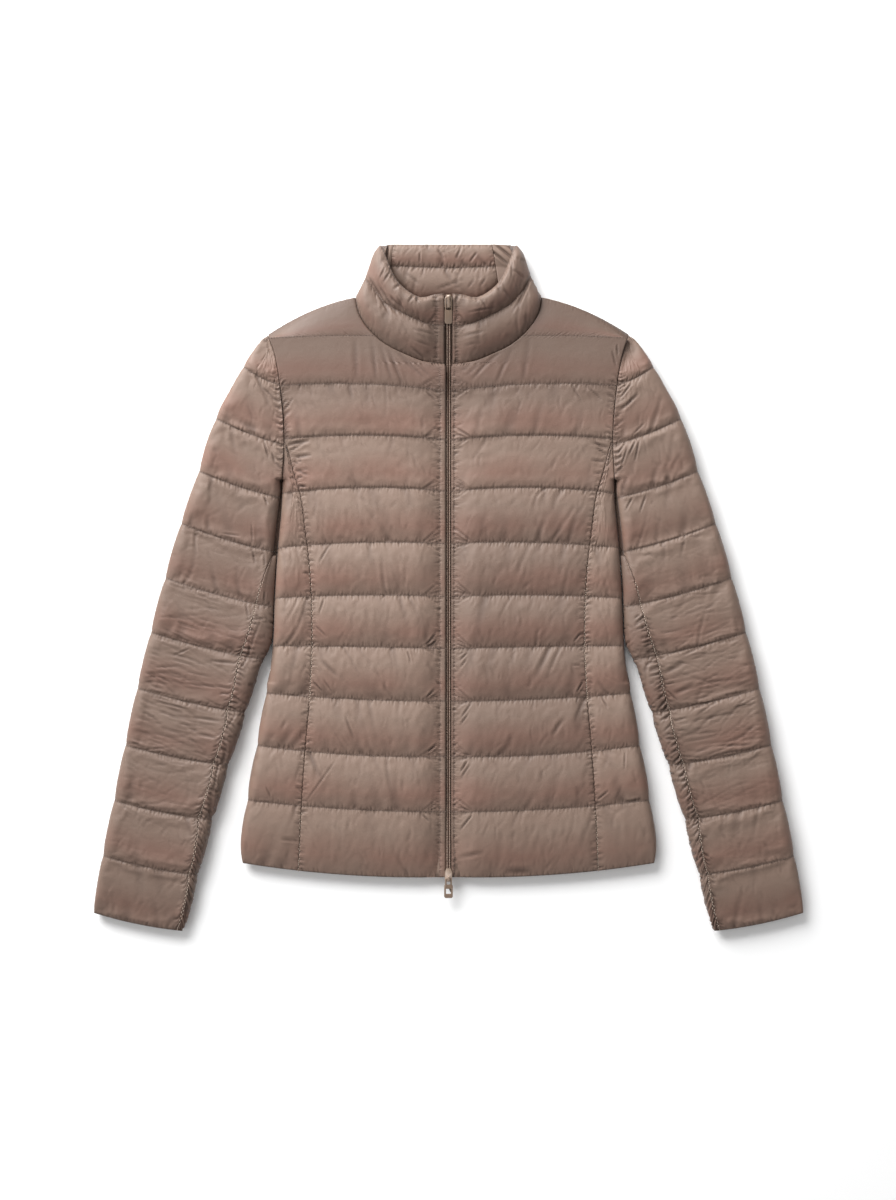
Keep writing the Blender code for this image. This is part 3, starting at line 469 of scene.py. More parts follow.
@dataclass(frozen=True)
class Ending:
    """How a channel's crown ends at one edge of a piece.

    low is the share of the crown left there, reach how far it takes to rise, margin the flat strip before it
    does and pressed how far that strip lies below the stitch lines. A folded edge rounds down to the layer
    under it, a seamed one turns in.
    """

    low: float
    reach: float
    margin: float = 0.0
    pressed: float = 0.0
    folded: bool = False
    seamed: bool = False

    def rise(self, inset: Grid) -> Grid:
        """The share of the crown's height at some distance in from the edge."""
        share = np.clip((inset - self.margin) / self.reach, 0.0, 1.0)
        return self.low + (1 - self.low) * np.sin(share * math.pi / 2)

    def finish(self, height: Grid, inset: Grid) -> Grid:
        """Lowers a wall's height towards the edge."""
        if self.pressed:
            share = np.clip((inset - self.margin) / LAYERS.pressed_over, 0.0, 1.0)
            height = height - self.pressed * (1 - np.sin(share * math.pi / 2))
        if self.folded:
            drawn = np.clip(inset / (0.9 * height), 0.0, 1.0)
            return LAYERS.folded_wall + (height - LAYERS.folded_wall) * np.sqrt(1 - (1 - drawn) ** 2)
        if self.seamed:
            drawn = np.clip(inset / LAYERS.seam_round, 0.0, 1.0)
            return height - LAYERS.seam_round * 0.8 * (1 - np.sqrt(1 - (1 - drawn) ** 2))
        return height


ZIP_EDGE = Ending(0.1, 30.0, margin=4.4, pressed=3.2)
SEAMED_EDGE = Ending(0.55, 20.0, seamed=True)
FOLDED_EDGE = Ending(0.66, 20.0, folded=True)


# A channel whose filling has sunk to its lower stitch line: the rise by the share of the way up from there.
SUNK = Curve((
    (0, 0), (0.03, 0.26), (0.08, 0.4), (0.3, 0.28), (0.5, 0.04), (0.72, -0.24), (0.88, -0.22), (1, 0),
))


def crown(share: float | Grid, power: float = 2.1, sag: float = 0.0) -> Grid:
    """The rise of a channel, from 0 to 1, at a share of the way up between its stitch lines.

    The power says how square it is, and the sag goes from 0, even, to 1, sunk.
    """
    share = np.asarray(share, float)
    return (1 - sag) * (1 - np.abs(2 * share - 1) ** power) ** 0.92 + sag * SUNK.read(share)


def wall(
    base: float, loft: Grid, rise: float | Grid, endings: Sequence[Ending], insets: Sequence[Grid]
) -> Grid:
    """The outside's height over the inside, between its endings.

    Args:
        base: the wall at the stitches.
        loft: how far the crown rises over them.
        rise: the crown's rise at this row, from 0 to 1.
        endings: the endings at the edges.
        insets: the distance from each edge.

    Returns:
        The height of each point.
    """
    height = base + loft * rise * np.prod([e.rise(inset) for e, inset in zip(endings, insets)], axis=0)
    for ending, inset in zip(endings, insets):
        height = ending.finish(height, inset)
    return height


def line_wall(place: float) -> float:
    """The wall at the stitches of the body or a sleeve: thin at the first and the last line."""
    walls = [LAYERS.end_wall] + [LAYERS.stitched_wall] * 10 + [LAYERS.end_wall]
    return float(np.interp(place, range(12), walls))


def rows_between(first: float, last: float, steps: int) -> Grid:
    """Places of rows between two places, in stitch lines, closer beside each line."""
    t = np.arange(steps) / steps
    shares = 0.6 * t + 0.4 * (0.5 - 0.5 * np.cos(np.pi * t))
    places = (np.arange(math.floor(first), math.ceil(last))[:, None] + shares).ravel()
    places = places[(places >= first) & (places < last - 0.01)]
    return np.append(places, last)


def spread(width: float, near_start: Sequence[float], near_end: Sequence[float], between: int) -> Grid:
    """Distances across a piece: some near each edge and a number evenly between, closer if it is narrow."""
    scale = min(1.0, 0.8 * width / (near_start[-1] + near_end[-1] + 1e-6))
    first, last = near_start[-1] * scale, width - near_end[-1] * scale
    middle = first + (last - first) * np.arange(1, between + 1) / (between + 1)
    return np.concatenate([np.array(near_start) * scale, middle, width - scale * np.array(near_end)[::-1]])


@dataclass(frozen=True)
class BodyCut:
    """The cut of the body for the wearer's left half: stitch lines, seams and edges.

    A place counts stitch lines from the hem, 0, to the shoulder seam, 11.
    """

    zip_y: tuple[float, ...] = (-304, -235, -177, -119, -64, -9.5, 46, 101, 155, 206.5, 264, 304.5)
    middle_y: tuple[float, ...] = (-302.5, -232.5, -175.5, -117, -62, -8, 47, 104.5, 159.5, 213.5, 266, 304.5)
    side_y: tuple[float, ...] = (-294.5, -226, -168, -111.5, -61, -11, 41.5, 98, 155, 211.5, 262, 265.3)
    middle_x: float = 95.0
    side_x: float = 180.0
    princess: Curve = Curve((
        (-300, 157.5), (-230, 154), (-172, 150.2), (-115, 145.3), (-61, 142.8), (-17, 143.2), (33, 146.5),
        (59, 149.9), (96, 154.9), (123, 162.8), (145, 168.5), (156, 172.5),
    ))
    side_edge: Curve = Curve((
        (-295, 215.5), (-280, 216.5), (-223, 210.3), (-166, 200.2), (-111, 190.5), (-61, 184.4), (-10, 182.3),
        (42, 179), (98, 174.3), (113, 174), (149, 172.3), (179, 173.3), (208.5, 176.4), (228.5, 179),
        (246, 182.7), (265, 189.4),
    ))
    neckline: Path = Path((
        (4.3, 234.5), (14, 234.8), (24, 236.5), (44, 244), (67, 255.7), (85, 272.5), (94, 288), (97.6, 304.5),
    ))
    shoulder_tip: tuple[float, float] = (189.4, 265.3)
    armhole_from_y: float = 113.0
    scalloped_below_y: float = -100.0
    scallop: float = 2.0
    zip_straight_to: float = 9.0
    neckline_from: float = 9.3
    neckline_last_share: float = 0.633
    side_panel_to: float = 7.93
    shoulder: float = 11.0
    full_pitch: float = 45.0
    seam_guess_x: float = 157.5
    wave_room: float = 12.0  # how wide the side panel is where the princess seam snakes in full
    loft: float = 4.7
    puffs: tuple[float, ...] = (1, 1, 1, 1, 1, 1, 1, 0.9, 0.9, 0.55, 0.5)  # a factor on the loft, by channel
    sags: tuple[float, ...] = (0, 0, 0, 0, 0, 0, 0.2, 0.9, 0.9, 0.5, 0)  # how far the filling has sunk

    def row_y(self, place: float, x: float | Grid) -> Grid:
        """The y of a row at some x: a parabola through its heights at the zip, the middle and the side."""
        xs = (LAYERS.zip_opening, self.middle_x, self.side_x)
        lines = np.arange(len(self.zip_y))
        total = 0.0
        for i, heights in enumerate((self.zip_y, self.middle_y, self.side_y)):
            others = [xs[j] for j in range(3) if j != i]
            total = total + np.interp(place, lines, heights) * np.prod(
                [(np.asarray(x, float) - o) / (xs[i] - o) for o in others], axis=0
            )
        return total

    def meet(self, edge: Curve, place: float, x: float) -> tuple[float, float]:
        """The point where a row meets a seam or an edge, from a first guess of its x."""
        for _ in range(5):
            x = float(edge.read(self.row_y(place, x)))
        return x, float(self.row_y(place, x))

    def side_point(self, place: float) -> Grid:
        """The end of a row at the side edge or the armhole."""
        x, y = self.meet(self.side_edge, place, self.side_x)
        swell = self.scallop * float(crown(place % 1, 2.4)) if y < self.scalloped_below_y else 0.0
        return np.array([x + swell, y])

    def princess_point(self, place: float) -> Grid:
        """The point where a row crosses the princess seam."""
        return np.array(self.meet(self.princess, place, self.seam_guess_x))

    def inner_point(self, place: float) -> Grid:
        """The start of a row at the zip's edge, or higher up at the neckline."""
        if place <= self.zip_straight_to:
            return np.array([LAYERS.zip_opening, float(self.row_y(place, LAYERS.zip_opening))])
        if place < self.neckline_from:
            low = float(self.row_y(self.zip_straight_to, LAYERS.zip_opening))
            high = LAYERS.neck_centre_y - LAYERS.collar_gap
            y = np.interp(place, (self.zip_straight_to, self.neckline_from), (low, high))
            return np.array([LAYERS.zip_opening, float(y)])
        stops = (self.neckline_from, self.shoulder - 1, self.shoulder)
        share = np.interp(place, stops, (0.0, self.neckline_last_share, 1.0))
        return self.neckline.at(share, -LAYERS.touch)

    def across(self, place: float, start: Grid, end: Grid, distances: Grid) -> Grid:
        """Points of a row at distances from its start, on its parabola moved to meet both ends."""
        share = distances / (end[0] - start[0])
        x = start[0] + distances
        misfit = start[1] - self.row_y(place, start[0]), end[1] - self.row_y(place, end[0])
        y = self.row_y(place, x) + misfit[0] * (1 - share) + misfit[1] * share
        return np.stack([x, y], axis=-1)

    def lofts(self, place: float, x: Grid) -> Grid:
        """The crown's rise at some x, less where the stitch lines draw together."""
        i = min(int(place), int(self.shoulder) - 1)
        pitch = self.row_y(i + 1, x) - self.row_y(i, x)
        return self.loft * self.puffs[i] * np.clip(pitch / self.full_pitch, 0.0, 1.0)

    def share_up(self, place: float, xy: Grid) -> Grid:
        """How far up its channel each point of a row lies; the rows run close together under the neckline."""
        line = math.floor(place)
        if line != self.zip_straight_to:
            return np.full(len(xy), place - line)
        low, high = self.row_y(line, xy[:, 0]), self.row_y(line + 1, xy[:, 0])
        return np.clip((xy[:, 1] - low) / (high - low), 0.0, 1.0)

    def rise(self, place: float, xy: Grid) -> Grid:
        """The crown's rise at a row, sunk in the channels over the chest."""
        return crown(self.share_up(place, xy), sag=self.sags[min(int(place), 10)])


@dataclass(frozen=True)
class SleeveCut:
    """The cut of the wearer's left sleeve. A place counts stitch lines from the shoulder to the cuff, 11."""

    inner_y: tuple[float, ...] = (264.5, 212.5, 149.5, 94, 37.5, -20, -75, -131, -186, -243, -301, -360.5)
    outer_y: tuple[float, ...] = (261, 231.5, 177, 122, 67, 10, -47, -105.5, -165, -223, -281, -341.5)
    inner_edge: Curve = Curve((
        (-360.5, 276.9), (-302, 261.9), (-243, 246.3), (-186.4, 229.6), (-131, 211.8), (-75, 196),
        (-45, 189.5), (-20, 187), (5, 185.5), (38, 183.5), (65, 180.5), (100, 176.4),
    ))
    outer_edge: Curve = Curve((
        (-341.5, 373.8), (-281, 363.7), (-223, 351.8), (-163, 339.6), (-104.5, 327.2), (-44, 312.6),
        (12.6, 297.6), (69, 281), (122, 263), (155, 253), (188.5, 240), (206, 230), (231.5, 216.3),
        (261, 196.4),
    ))
    front_seam: Curve = Curve((
        (-360.5, 6), (-291, 9), (-244, 13.5), (-183, 15), (-121, 19), (-75, 22), (-45, 18.5), (-5, 12),
        (12, 8),
    ))
    seam_from_y: float = 12.0
    seam_hidden_y: float = 36.0
    back_seam: float = 0.42
    sag: float = 2.5
    loft: float = 5.6
    scallop: float = 1.5
    narrow: float = 60.0
    full_width: float = 40.0
    cuff: float = 11.0
    free_from_y: float = -60.0
    free_over: float = 45.0
    edge_to_y: float = 100.0
    notch_in: float = 1.6
    fold_in: float = 5.0
    seam_from: float = 5.2  # the place where its front seam starts to show
    wave_room: float = 8.0  # how far in the front seam lies where it snakes in full
    touching_from_y: float = -92.0  # from here up, and over the next distance, it comes to touch the body
    touching_over: float = 46.0

    def ends(self, place: float, body: BodyCut) -> tuple[Grid, Grid]:
        """Both ends of a row of the sleeve."""
        lines = np.arange(len(self.inner_y))
        inner_y = float(np.interp(place, lines, self.inner_y))
        outer_y = float(np.interp(place, lines, self.outer_y))
        notch = self.scallop * (1 - float(crown(place % 1, 3.0)))
        if inner_y > body.armhole_from_y:
            inner_x = float(body.side_edge.read(inner_y)) + LAYERS.armhole_gap
        else:
            free = float(np.clip((self.free_from_y - inner_y) / self.free_over, 0.0, 1.0))
            inner_x = float(self.inner_edge.read(min(inner_y, self.edge_to_y))) + self.notch_in * notch * free
        return np.array([inner_x, inner_y]), np.array([float(self.outer_edge.read(outer_y)) - notch, outer_y])

    def inset(self, inner_y: float) -> float:
        """How far the front seam lies from the inner edge, 0 where it is hidden at the fold."""
        shown = (self.seam_hidden_y - inner_y) / (self.seam_hidden_y - self.seam_from_y)
        return float(self.front_seam.read(inner_y)) * min(shown, 1.0) if shown > 0.1 else 0.0

    def across(self, start: Grid, end: Grid, shares: Grid) -> Grid:
        """Points at shares of a row, which sags a little below the straight line."""
        shares = np.asarray(shares, float)[:, None]
        return start + (end - start) * shares - np.array([0, self.sag * 4]) * shares * (1 - shares)

    def height(self, place: float, d: Grid, width: float, in_armhole: bool) -> Grid:
        """The upper outside's height at distances from the inner edge."""
        endings = SEAMED_EDGE if in_armhole else FOLDED_EDGE, FOLDED_EDGE
        loft, rise = self.loft * min(1.0, width / self.full_width), float(crown(place % 1))
        return LAYERS.front_inside + wall(line_wall(place), loft, rise, endings, (d, width - d))

    def seam_rows(self, places: Grid) -> slice:
        """The rows where the front seam shows."""
        return slice(int(np.searchsorted(places, self.seam_from)), None)


def turned_under(width: float, scale: float, steps: int, start: float = 0.0) -> list[tuple[float, float]]:
    """Shares of the width, from the edge, and heights of points where an edge rounds under onto the surface.

    The scale is less than 1 where the piece is narrow, and the start is the turn's first angle, as a share.
    """
    top = LAYERS.front_inside + LAYERS.folded_wall
    turn = [(start + (1 - start) * (i + 1) / steps) * math.pi / 2 for i in range(steps)]
    return [(LAYERS.edge_round * scale * (1 - math.cos(a)) / width, top * (1 - math.sin(a))) for a in turn]


def run_flat(start: float, end: float, count: int) -> list[tuple[float, float]]:
    """Shares of the width and heights of points that run on along the surface."""
    return [(start + (end - start) * (i + 1) / count, 0.0) for i in range(count)]


BODY, SLEEVE = BodyCut(), SleeveCut()


def seam_wave(y: float, side: Side, inset: Grid, room: float) -> Grid:
    """How far a gathered seam snakes to one side at some y, alike in both pieces that it joins.

    It fades with the inset from the seam, and it is less where there is less than full room, 1, for it.
    """
    slow = math.sin(y / 31.0 + side.value) + 0.6 * math.sin(y / 13.0 + 2.0 * side.value)
    wave = 0.42 * (0.7 + 0.3 * slow) * math.sin(2 * math.pi * y / 7.6 + 1.3 * slow)
    return wave * np.exp(-inset / 3.0) * min(1.0, room)


# ------------------------------------------------------------------ folds


@dataclass(frozen=True)
class Fold:
    """A fold pressed into the cloth from one point to another, with a low ridge along both its sides.

    A tick starts at full depth at its seam and fades; any other fold fades at both ends.
    """

    start: tuple[float, float]
    end: tuple[float, float]
    depth: float
    width: float
    bend: float = 0.0
    tick: bool = False

    def press(self, u: Grid, v: Grid, height: Grid) -> None:
        """Adds the fold to the heights, in place, of points with two coordinates."""
        (u0, v0), (u1, v1) = self.start, self.end
        reach = 3.4 * self.width + abs(self.bend)
        near = (u > min(u0, u1) - reach) & (u < max(u0, u1) + reach)
        near &= (v > min(v0, v1) - reach) & (v < max(v0, v1) + reach)
        if not near.any():
            return
        length = math.hypot(u1 - u0, v1 - v0)
        du, dv = (u1 - u0) / length, (v1 - v0) / length
        a, b = u[near] - u0, v[near] - v0
        t = (a * du + b * dv) / length
        held = np.clip(t, 0.0, 1.0)
        off = np.abs(b * du - a * dv - self.bend * 4 * held * (1 - held)) / self.width
        off = np.hypot(off, (t - held) * length / self.width)
        fade = (1 - held) ** 0.8 if self.tick else np.sin(np.pi * held) ** 0.7
        height[near] -= self.depth * fade * (np.exp(-(off**2)) - 0.42 * np.exp(-(((off - 1.9) / 0.9) ** 2)))


def pressed(rows: Rows, points: Grid) -> Grid:
    """The heights that folds add to some points, from each fold's ends, depth and width."""
    height = np.zeros(points.shape[:2])
    for x0, y0, x1, y1, depth, width in rows:
        Fold((x0, y0), (x1, y1), depth, width).press(points[..., 0], points[..., 1], height)
    return height


# Folds that lie where the jacket has them: x (away from the middle) and y of both ends, depth and width.
SHOWN_FOLDS: dict[Side, Rows] = {
    Side.LEFT: (
        (66, 251, 50, 214, 0.6, 1.9), (52, 246, 30, 224, 0.8, 1.5), (44, 241, 24, 217, 0.6, 1.5),
        (36, 236, 18, 222, 0.6, 1.3), (84, 262, 78, 216, 0.5, 2.4), (168, 146, 149, 152, 1.3, 1.5),
        (166, 139, 154, 147, 1.3, 1.2), (164, 131, 149, 134, 1.3, 1.4), (160, 119, 151, 121, 1.0, 1.2),
        (23, 232, 12, 227, 1.0, 1.1),
        (176, 232, 171, 248, 1.2, 0.9), (178, 244, 176, 254, 1.3, 0.9), (129, 212, 140, 194, 1, 0.9),
        (145, 211, 161, 196, 1.1, 0.9), (192, 214, 178, 196, 1.4, 0.9), (199, 203, 176, 181, 1.4, 1.4),
        (151, 155, 164, 143, 1.1, 0.9), (185, 151, 175, 137, 1.3, 0.9), (187, 146, 181, 128, 1.4, 0.9),
        (196, 154, 189, 139, 1.5, 0.9), (200, 155, 195, 132, 1.2, 0.9), (206, 173, 192, 159, 0.9, 0.9),
        (193, 95, 185, 80, 1.3, 0.9), (207, 97, 200, 78, 1.3, 0.9), (139, -47, 131, -57, 1.1, 0.9),
        (19, -75, 12, -84, 1.3, 0.9), (20, -68, 12, -76, 1.3, 0.9), (128, -80, 140, -82, 1.1, 0.9),
        (141, -98, 134, -110, 1.4, 0.9), (247, -79, 224, -90, 1, 2.1), (285, -89, 265, -98, 0.9, 0.9),
        (299, -95, 260, -102, 0.8, 1.4), (21, -132, 12, -144, 1, 0.9), (24, -121, 12, -138, 1.2, 0.9),
        (121, -136, 108, -155, 0.9, 2.1), (161, -116, 167, -126, 1.2, 0.9), (226, -101, 237, -99, 1.5, 0.9),
        (229, -108, 241, -119, 1.6, 0.9), (250, -136, 235, -140, 1.2, 0.9), (258, -102, 236, -111, 1, 2.1),
        (295, -130, 266, -139, 0.9, 0.9), (311, -122, 298, -126, 1.1, 0.9), (185, -170, 184, -191, 0.8, 0.9),
        (238, -150, 249, -149, 1.3, 0.9), (20, -181, 12, -194, 1.6, 0.9), (23, -185, 13, -199, 1, 0.9),
        (168, -212, 155, -223, 1.4, 0.9), (25, -238, 12, -254, 1.8, 0.9), (202, -222, 185, -225, 1.4, 1.4),
        (38, -277, 12, -283, 0.8, 2.1), (60, -298, 88, -298, 1, 3.2), (268, -278, 277, -285, 1.2, 0.9),
    ),
    Side.RIGHT: (
        (62.5, 249, 46.5, 209, 0.9, 1.7), (71, 254, 58, 213, 0.5, 1.7), (53, 247, 32, 222, 0.7, 1.6),
        (45.5, 242, 26, 219, 0.8, 1.4), (38, 237, 17, 220, 0.6, 1.3), (80, 258, 75, 215, 0.5, 2.0),
        (98, 262, 96, 216, 0.4, 2.6), (169, 149, 145, 154, 1.5, 1.7), (167, 143, 151, 151, 1.5, 1.2),
        (165, 136, 143, 139, 1.6, 1.5), (163, 129, 152, 135, 1.2, 1.1), (162, 123, 146, 124, 1.3, 1.4),
        (159, 114, 150, 118, 1.0, 1.1), (157, 106, 148, 106, 1.0, 1.2),
        (24, 206, 12, 194, 1.1, 1.1), (162, 199, 172, 186, 1.3, 0.9),
        (194, 209, 183, 198, 1.1, 0.9), (185, 141, 181, 131, 1.3, 0.9), (193, 153, 188, 135, 1.5, 0.9),
        (225, 177, 201, 164, 0.8, 3.2), (155, 138, 162, 132, 1.5, 0.9), (160, 123, 147, 118, 1.7, 1.4),
        (193, 95, 189, 87, 1.8, 0.9), (206, 67, 205, 46, 1, 0.9), (125, 44, 136, 25, 1.1, 0.9),
        (193, 36, 192, 22, 1.4, 0.9), (202, 25, 205, 39, 1.3, 0.9), (218, 54, 238, 57, 0.8, 0.9),
        (130, -11, 135, -27, 1.1, 0.9), (192, -4, 193, -15, 1.2, 0.9), (212, -17, 209, -32, 1, 0.9),
        (12, -47, 23, -60, 1.5, 0.9), (12, -55, 18, -60, 1.4, 0.9), (140, -39, 127, -52, 1.1, 0.9),
        (208, -55, 209, -69, 1.1, 0.9), (284, -36, 261, -44, 1, 0.9), (39, -79, 43, -66, 1, 0.9),
        (131, -96, 120, -112, 0.9, 0.9), (133, -76, 115, -94, 0.9, 2.1), (142, -98, 132, -109, 1.6, 0.9),
        (211, -75, 218, -85, 1.6, 0.9), (222, -79, 252, -77, 0.8, 1.4), (271, -64, 288, -71, 0.9, 0.9),
        (275, -88, 247, -94, 0.8, 0.9), (282, -100, 228, -105, 1.1, 0.9), (288, -75, 267, -82, 0.8, 0.9),
        (291, -87, 268, -98, 1.1, 0.9), (306, -83, 284, -83, 1.4, 0.9), (313, -88, 289, -100, 1, 0.9),
        (13, -105, 23, -115, 1.2, 0.9), (108, -135, 98, -160, 0.9, 1.4), (222, -132, 231, -146, 0.8, 0.9),
        (240, -111, 229, -111, 1.7, 0.9), (268, -136, 237, -140, 1, 1.4), (297, -126, 278, -131, 0.8, 0.9),
        (303, -129, 279, -139, 1, 0.9), (305, -119, 271, -128, 1.1, 0.9), (322, -129, 303, -139, 1.1, 0.9),
        (12, -164, 22, -173, 1.5, 0.9), (265, -153, 241, -158, 1.1, 1.4), (283, -143, 256, -145, 0.8, 0.9),
        (118, -181, 149, -224, 0.9, 0.9), (191, -208, 185, -222, 0.9, 0.9), (27, -238, 20, -245, 1.5, 0.9),
        (203, -224, 186, -225, 1.2, 0.9), (176, -263, 159, -264, 1.2, 1.4), (273, -331, 278, -348, 1, 3.2),
    ),
}


class Uneven(NamedTuple):
    """What varies from tick to tick along a seam: the least share, the spread or the range of each thing."""

    size: float
    power: float
    lean: float
    reach: float
    widths: tuple[float, float]
    bend: float
    steps: tuple[float, float]


AT_LINES = Uneven(0.35, 1.4, 0.28, 0.35, (0.6, 1.1), 0.5, (0.35, 1.7))
AT_COLUMNS = Uneven(0.3, 1.0, 0.25, 0.3, (0.9, 1.4), 0.4, (0.5, 1.5))


@dataclass
class Quilt:
    """The quilted outside of a piece as a dense grid: rows along the stitch lines, columns across them.

    Points are for the wearer's left. The first columns, as many as top says, are seen from above. Cloth by
    the gathers columns is gathered up to a place, and cloth past calm_from hardly moves. Depths, reaches and
    widths are in millimetres, and weights are factors by channel.
    """

    points: Grid
    places: Grid
    top: int
    seed: int
    sign: int = 1
    cap: float = 3.2
    stitched_columns: tuple[int, ...] = ()
    gathers: tuple[int, ...] = ()
    gathered_to: float = 99.0
    calm_from: float = 99.0

    def __post_init__(self) -> None:
        """Measures the cloth and finds its stitch lines before anything is pressed into it."""
        self.along, self.up = arc_lengths(self.points, 1), arc_lengths(self.points, 0)
        self.raised = np.zeros(self.points.shape[:2])
        last = len(self.places) - 1
        self.lines = [i for i, p in enumerate(self.places) if abs(p - round(p)) < 1e-6 or i == last]
        self.near = (self.lines[1] - self.lines[0]) // 2  # how many rows there are to half a channel
        self.rng = np.random.default_rng(self.seed + 100)

    def calm(self, left: float) -> Grid:
        """A factor on what moves the cloth: 0 in rows that run into the neckline, and what is left above."""
        stops = [self.calm_from + rise for rise in (0.0, 0.25, 0.5, 0.75)]
        return np.interp(self.places, stops, (1.0, 0.0, 0.0, left))[:, None]

    def line_gap(self) -> Grid:
        """The distance from the nearest stitch line."""
        return np.min([np.abs(self.up - self.up[line]) for line in self.lines], axis=0)

    def line_hold(self, reach: float) -> Grid:
        """A share that is 0 at the stitch lines and rises to 1 away from them."""
        return 1 - np.exp(-((self.line_gap() / reach) ** 2))

    def side_hold(self, reach: float) -> Grid:
        """A share that is 0 at the piece's side edges and rises to 1 away from them."""
        side = np.minimum(self.along, self.along[:, -1:] - self.along)
        return 1 - np.exp(-((side / reach) ** 2))

    def hold(self, reach: float = 1.0) -> Grid:
        """A share that is 0 at stitches and edges and rises to 1 away from them."""
        return self.line_hold(reach) * self.side_hold(reach * 1.2)

    def gather_ticks(self) -> dict[str, Grid]:
        """What the satin's fine gathers follow: the way along the seam, the way off it and their strength."""
        at_lines = 0.8 * np.exp(-self.line_gap() / 2.6) * self.calm(0.3)
        gaps = [np.abs(self.along - self.along[:, c][:, None]) for c in self.gathers]
        at_seams = 0.8 * np.exp(-np.min(gaps, axis=0) / 3.5) if gaps else np.zeros_like(self.along)
        at_seams[self.places > self.gathered_to] = 0.0
        return {
            "line_ticks": np.stack([self.along, 0.12 * self.up, at_lines], axis=2),
            "seam_ticks": np.stack([self.up, 0.12 * self.along, at_seams], axis=2),
        }

    def normals(self) -> Grid:
        """Unit normals of the grid, out of the cloth."""
        n = np.cross(np.gradient(self.points, axis=1), np.gradient(self.points, axis=0))
        n /= np.linalg.norm(n, axis=2, keepdims=True) + 1e-12
        return n * (1 if n[:, : self.top, 2].sum() > 0 else -1)

    def raise_all(self) -> None:
        """Moves the points out along their normals by what has been pressed in."""
        self.points = self.points + self.normals() * (self.raised * self.hold())[..., None]
        self.points[..., 2] = np.maximum(self.points[..., 2], 0.0)

    def tick_row(
        self, u: Grid, v: Grid, place: float, end: float, spacing: float, depth: float, reach: float,
        uneven: Uneven, lean: float = 0.0,
    ) -> Grid:
        """Short ticks in a row along a seam.

        Args:
            u, v: the points' distances along the seam and off it.
            place, end: where the first tick is, and where they stop.
            spacing, depth, reach: how far apart they are, their depth and their length.
            uneven: what varies from one to the next.
            lean: how far one leans for each millimetre of its reach.

        Returns:
            The heights that they add.
        """
        height = np.zeros_like(v)
        while place < end:
            size = self.rng.uniform(uneven.size, 1.0) ** uneven.power
            tip = place + (lean + self.rng.normal(0, uneven.lean)) * reach * size
            far = reach * (uneven.reach + (1 - uneven.reach) * size)
            Fold(
                (place, -0.4), (tip, far), depth * (0.45 + 0.55 * size), self.rng.uniform(*uneven.widths),
                self.rng.normal(0, uneven.bend), True,
            ).press(u, v, height)
            place += spacing * self.rng.uniform(*uneven.steps)
        return height

    def pucker_lines(self, spacing: float, depth: float, reach: float) -> None:
        """Presses ticks into the cloth along both sides of each stitch line."""
        for line in self.lines:
            for way in (-1, 1):
                first = max(line - self.near, 0) if way < 0 else line
                part = slice(first, (line if way < 0 else line + self.near) + 1)
                v = (self.up[part] - self.up[line]) * way
                if len(v) < 3:
                    continue
                start, end = self.rng.uniform(2, spacing), self.along[line, -1]
                height = self.tick_row(self.along[part], v, start, end, spacing, depth, reach, AT_LINES)
                self.raised[part] += height * self.calm(0.35)[part]

    def pucker_column(
        self, column: int, way: int, spacing: float, depth: float, reach: float,
        rows: slice = slice(None), lean: float = 0.0,
    ) -> None:
        """Presses ticks beside a column that is a seam or a line of stitches, beyond it or before it (-1)."""
        u = self.up[rows]
        v = (self.along[rows] - self.along[rows, column][:, None]) * way
        first = u[0].min() + self.rng.uniform(1, spacing)
        height = self.tick_row(u, v, first, u[-1].max(), spacing, depth, reach, AT_COLUMNS, lean)
        if rows.stop is not None:
            height[-8:] *= np.linspace(1.0, 0.0, 8)[:, None]
        self.raised[rows] += height

    def fans(self, column: int, lines: Iterable[int], size: float, depth: float) -> None:
        """Presses the fan of creases where each stitch line runs into the facing strip's stitched column."""
        for line in lines:
            u, v = self.along - self.along[line, column], self.up - self.up[line]
            for rise in (15.5, 10.5, 5.5, -4.0, -8.5):
                draw = self.rng.uniform
                reach = size * (0.75 + 0.25 * abs(rise) / 15.5) * draw(0.85, 1.1)
                Fold(
                    (reach, 0.6 * math.copysign(1, rise)), (0.5, rise * draw(0.85, 1.12)),
                    depth * (1.0 if rise > 0 else 0.7) * draw(0.7, 1.1), draw(0.8, 1.2),
                ).press(u, v, self.raised)

    def channels(self, weights: Weights) -> Iterator[tuple[float, Grid, Grid, float, float, Grid]]:
        """Each channel's weight, coordinates, pitch, length and heights, which are then added."""
        for low, high in zip(self.lines, self.lines[1:]):
            part = slice(low, high + 1)
            v = self.up[part] - self.up[low]
            weight, height = (weights or {}).get(int(self.places[low]), 1.0), np.zeros_like(v)
            yield weight, self.along[part], v, float(np.median(v[-1])), self.along[low, -1], height
            self.raised[part] += height

    def drags(
        self, each: float, depth: float, lean: float, weights: Weights = None, widths: Range = (1.4, 3.2)
    ) -> None:
        """Presses soft slanting folds into each channel.

        Args:
            each: how many there are for each 100 mm of a channel.
            depth: their depth.
            lean: how far they lean along the channel for each millimetre up it.
            weights: factors on the number and the depth.
            widths: their least and greatest width.
        """
        rng = self.rng
        for weight, u, v, pitch, length, height in self.channels(weights):
            for _ in range(rng.poisson(each * weight * length / 100) if pitch >= 12 else 0):
                start, rise = rng.uniform(0, length), pitch * rng.uniform(0.35, 0.8)
                way = 1 if rng.random() < 0.5 else -1  # up from the lower line, or down from the upper one
                v0 = 1.0 if way > 0 else pitch - 1.0
                end = start + lean * rise * rng.normal(1.0, 0.5) * way, v0 + rise * way
                Fold(
                    (start, v0), end, depth * weight * rng.uniform(0.4, 1.0), rng.uniform(*widths),
                    rng.normal(0, 2.0), True,
                ).press(u, v, height)

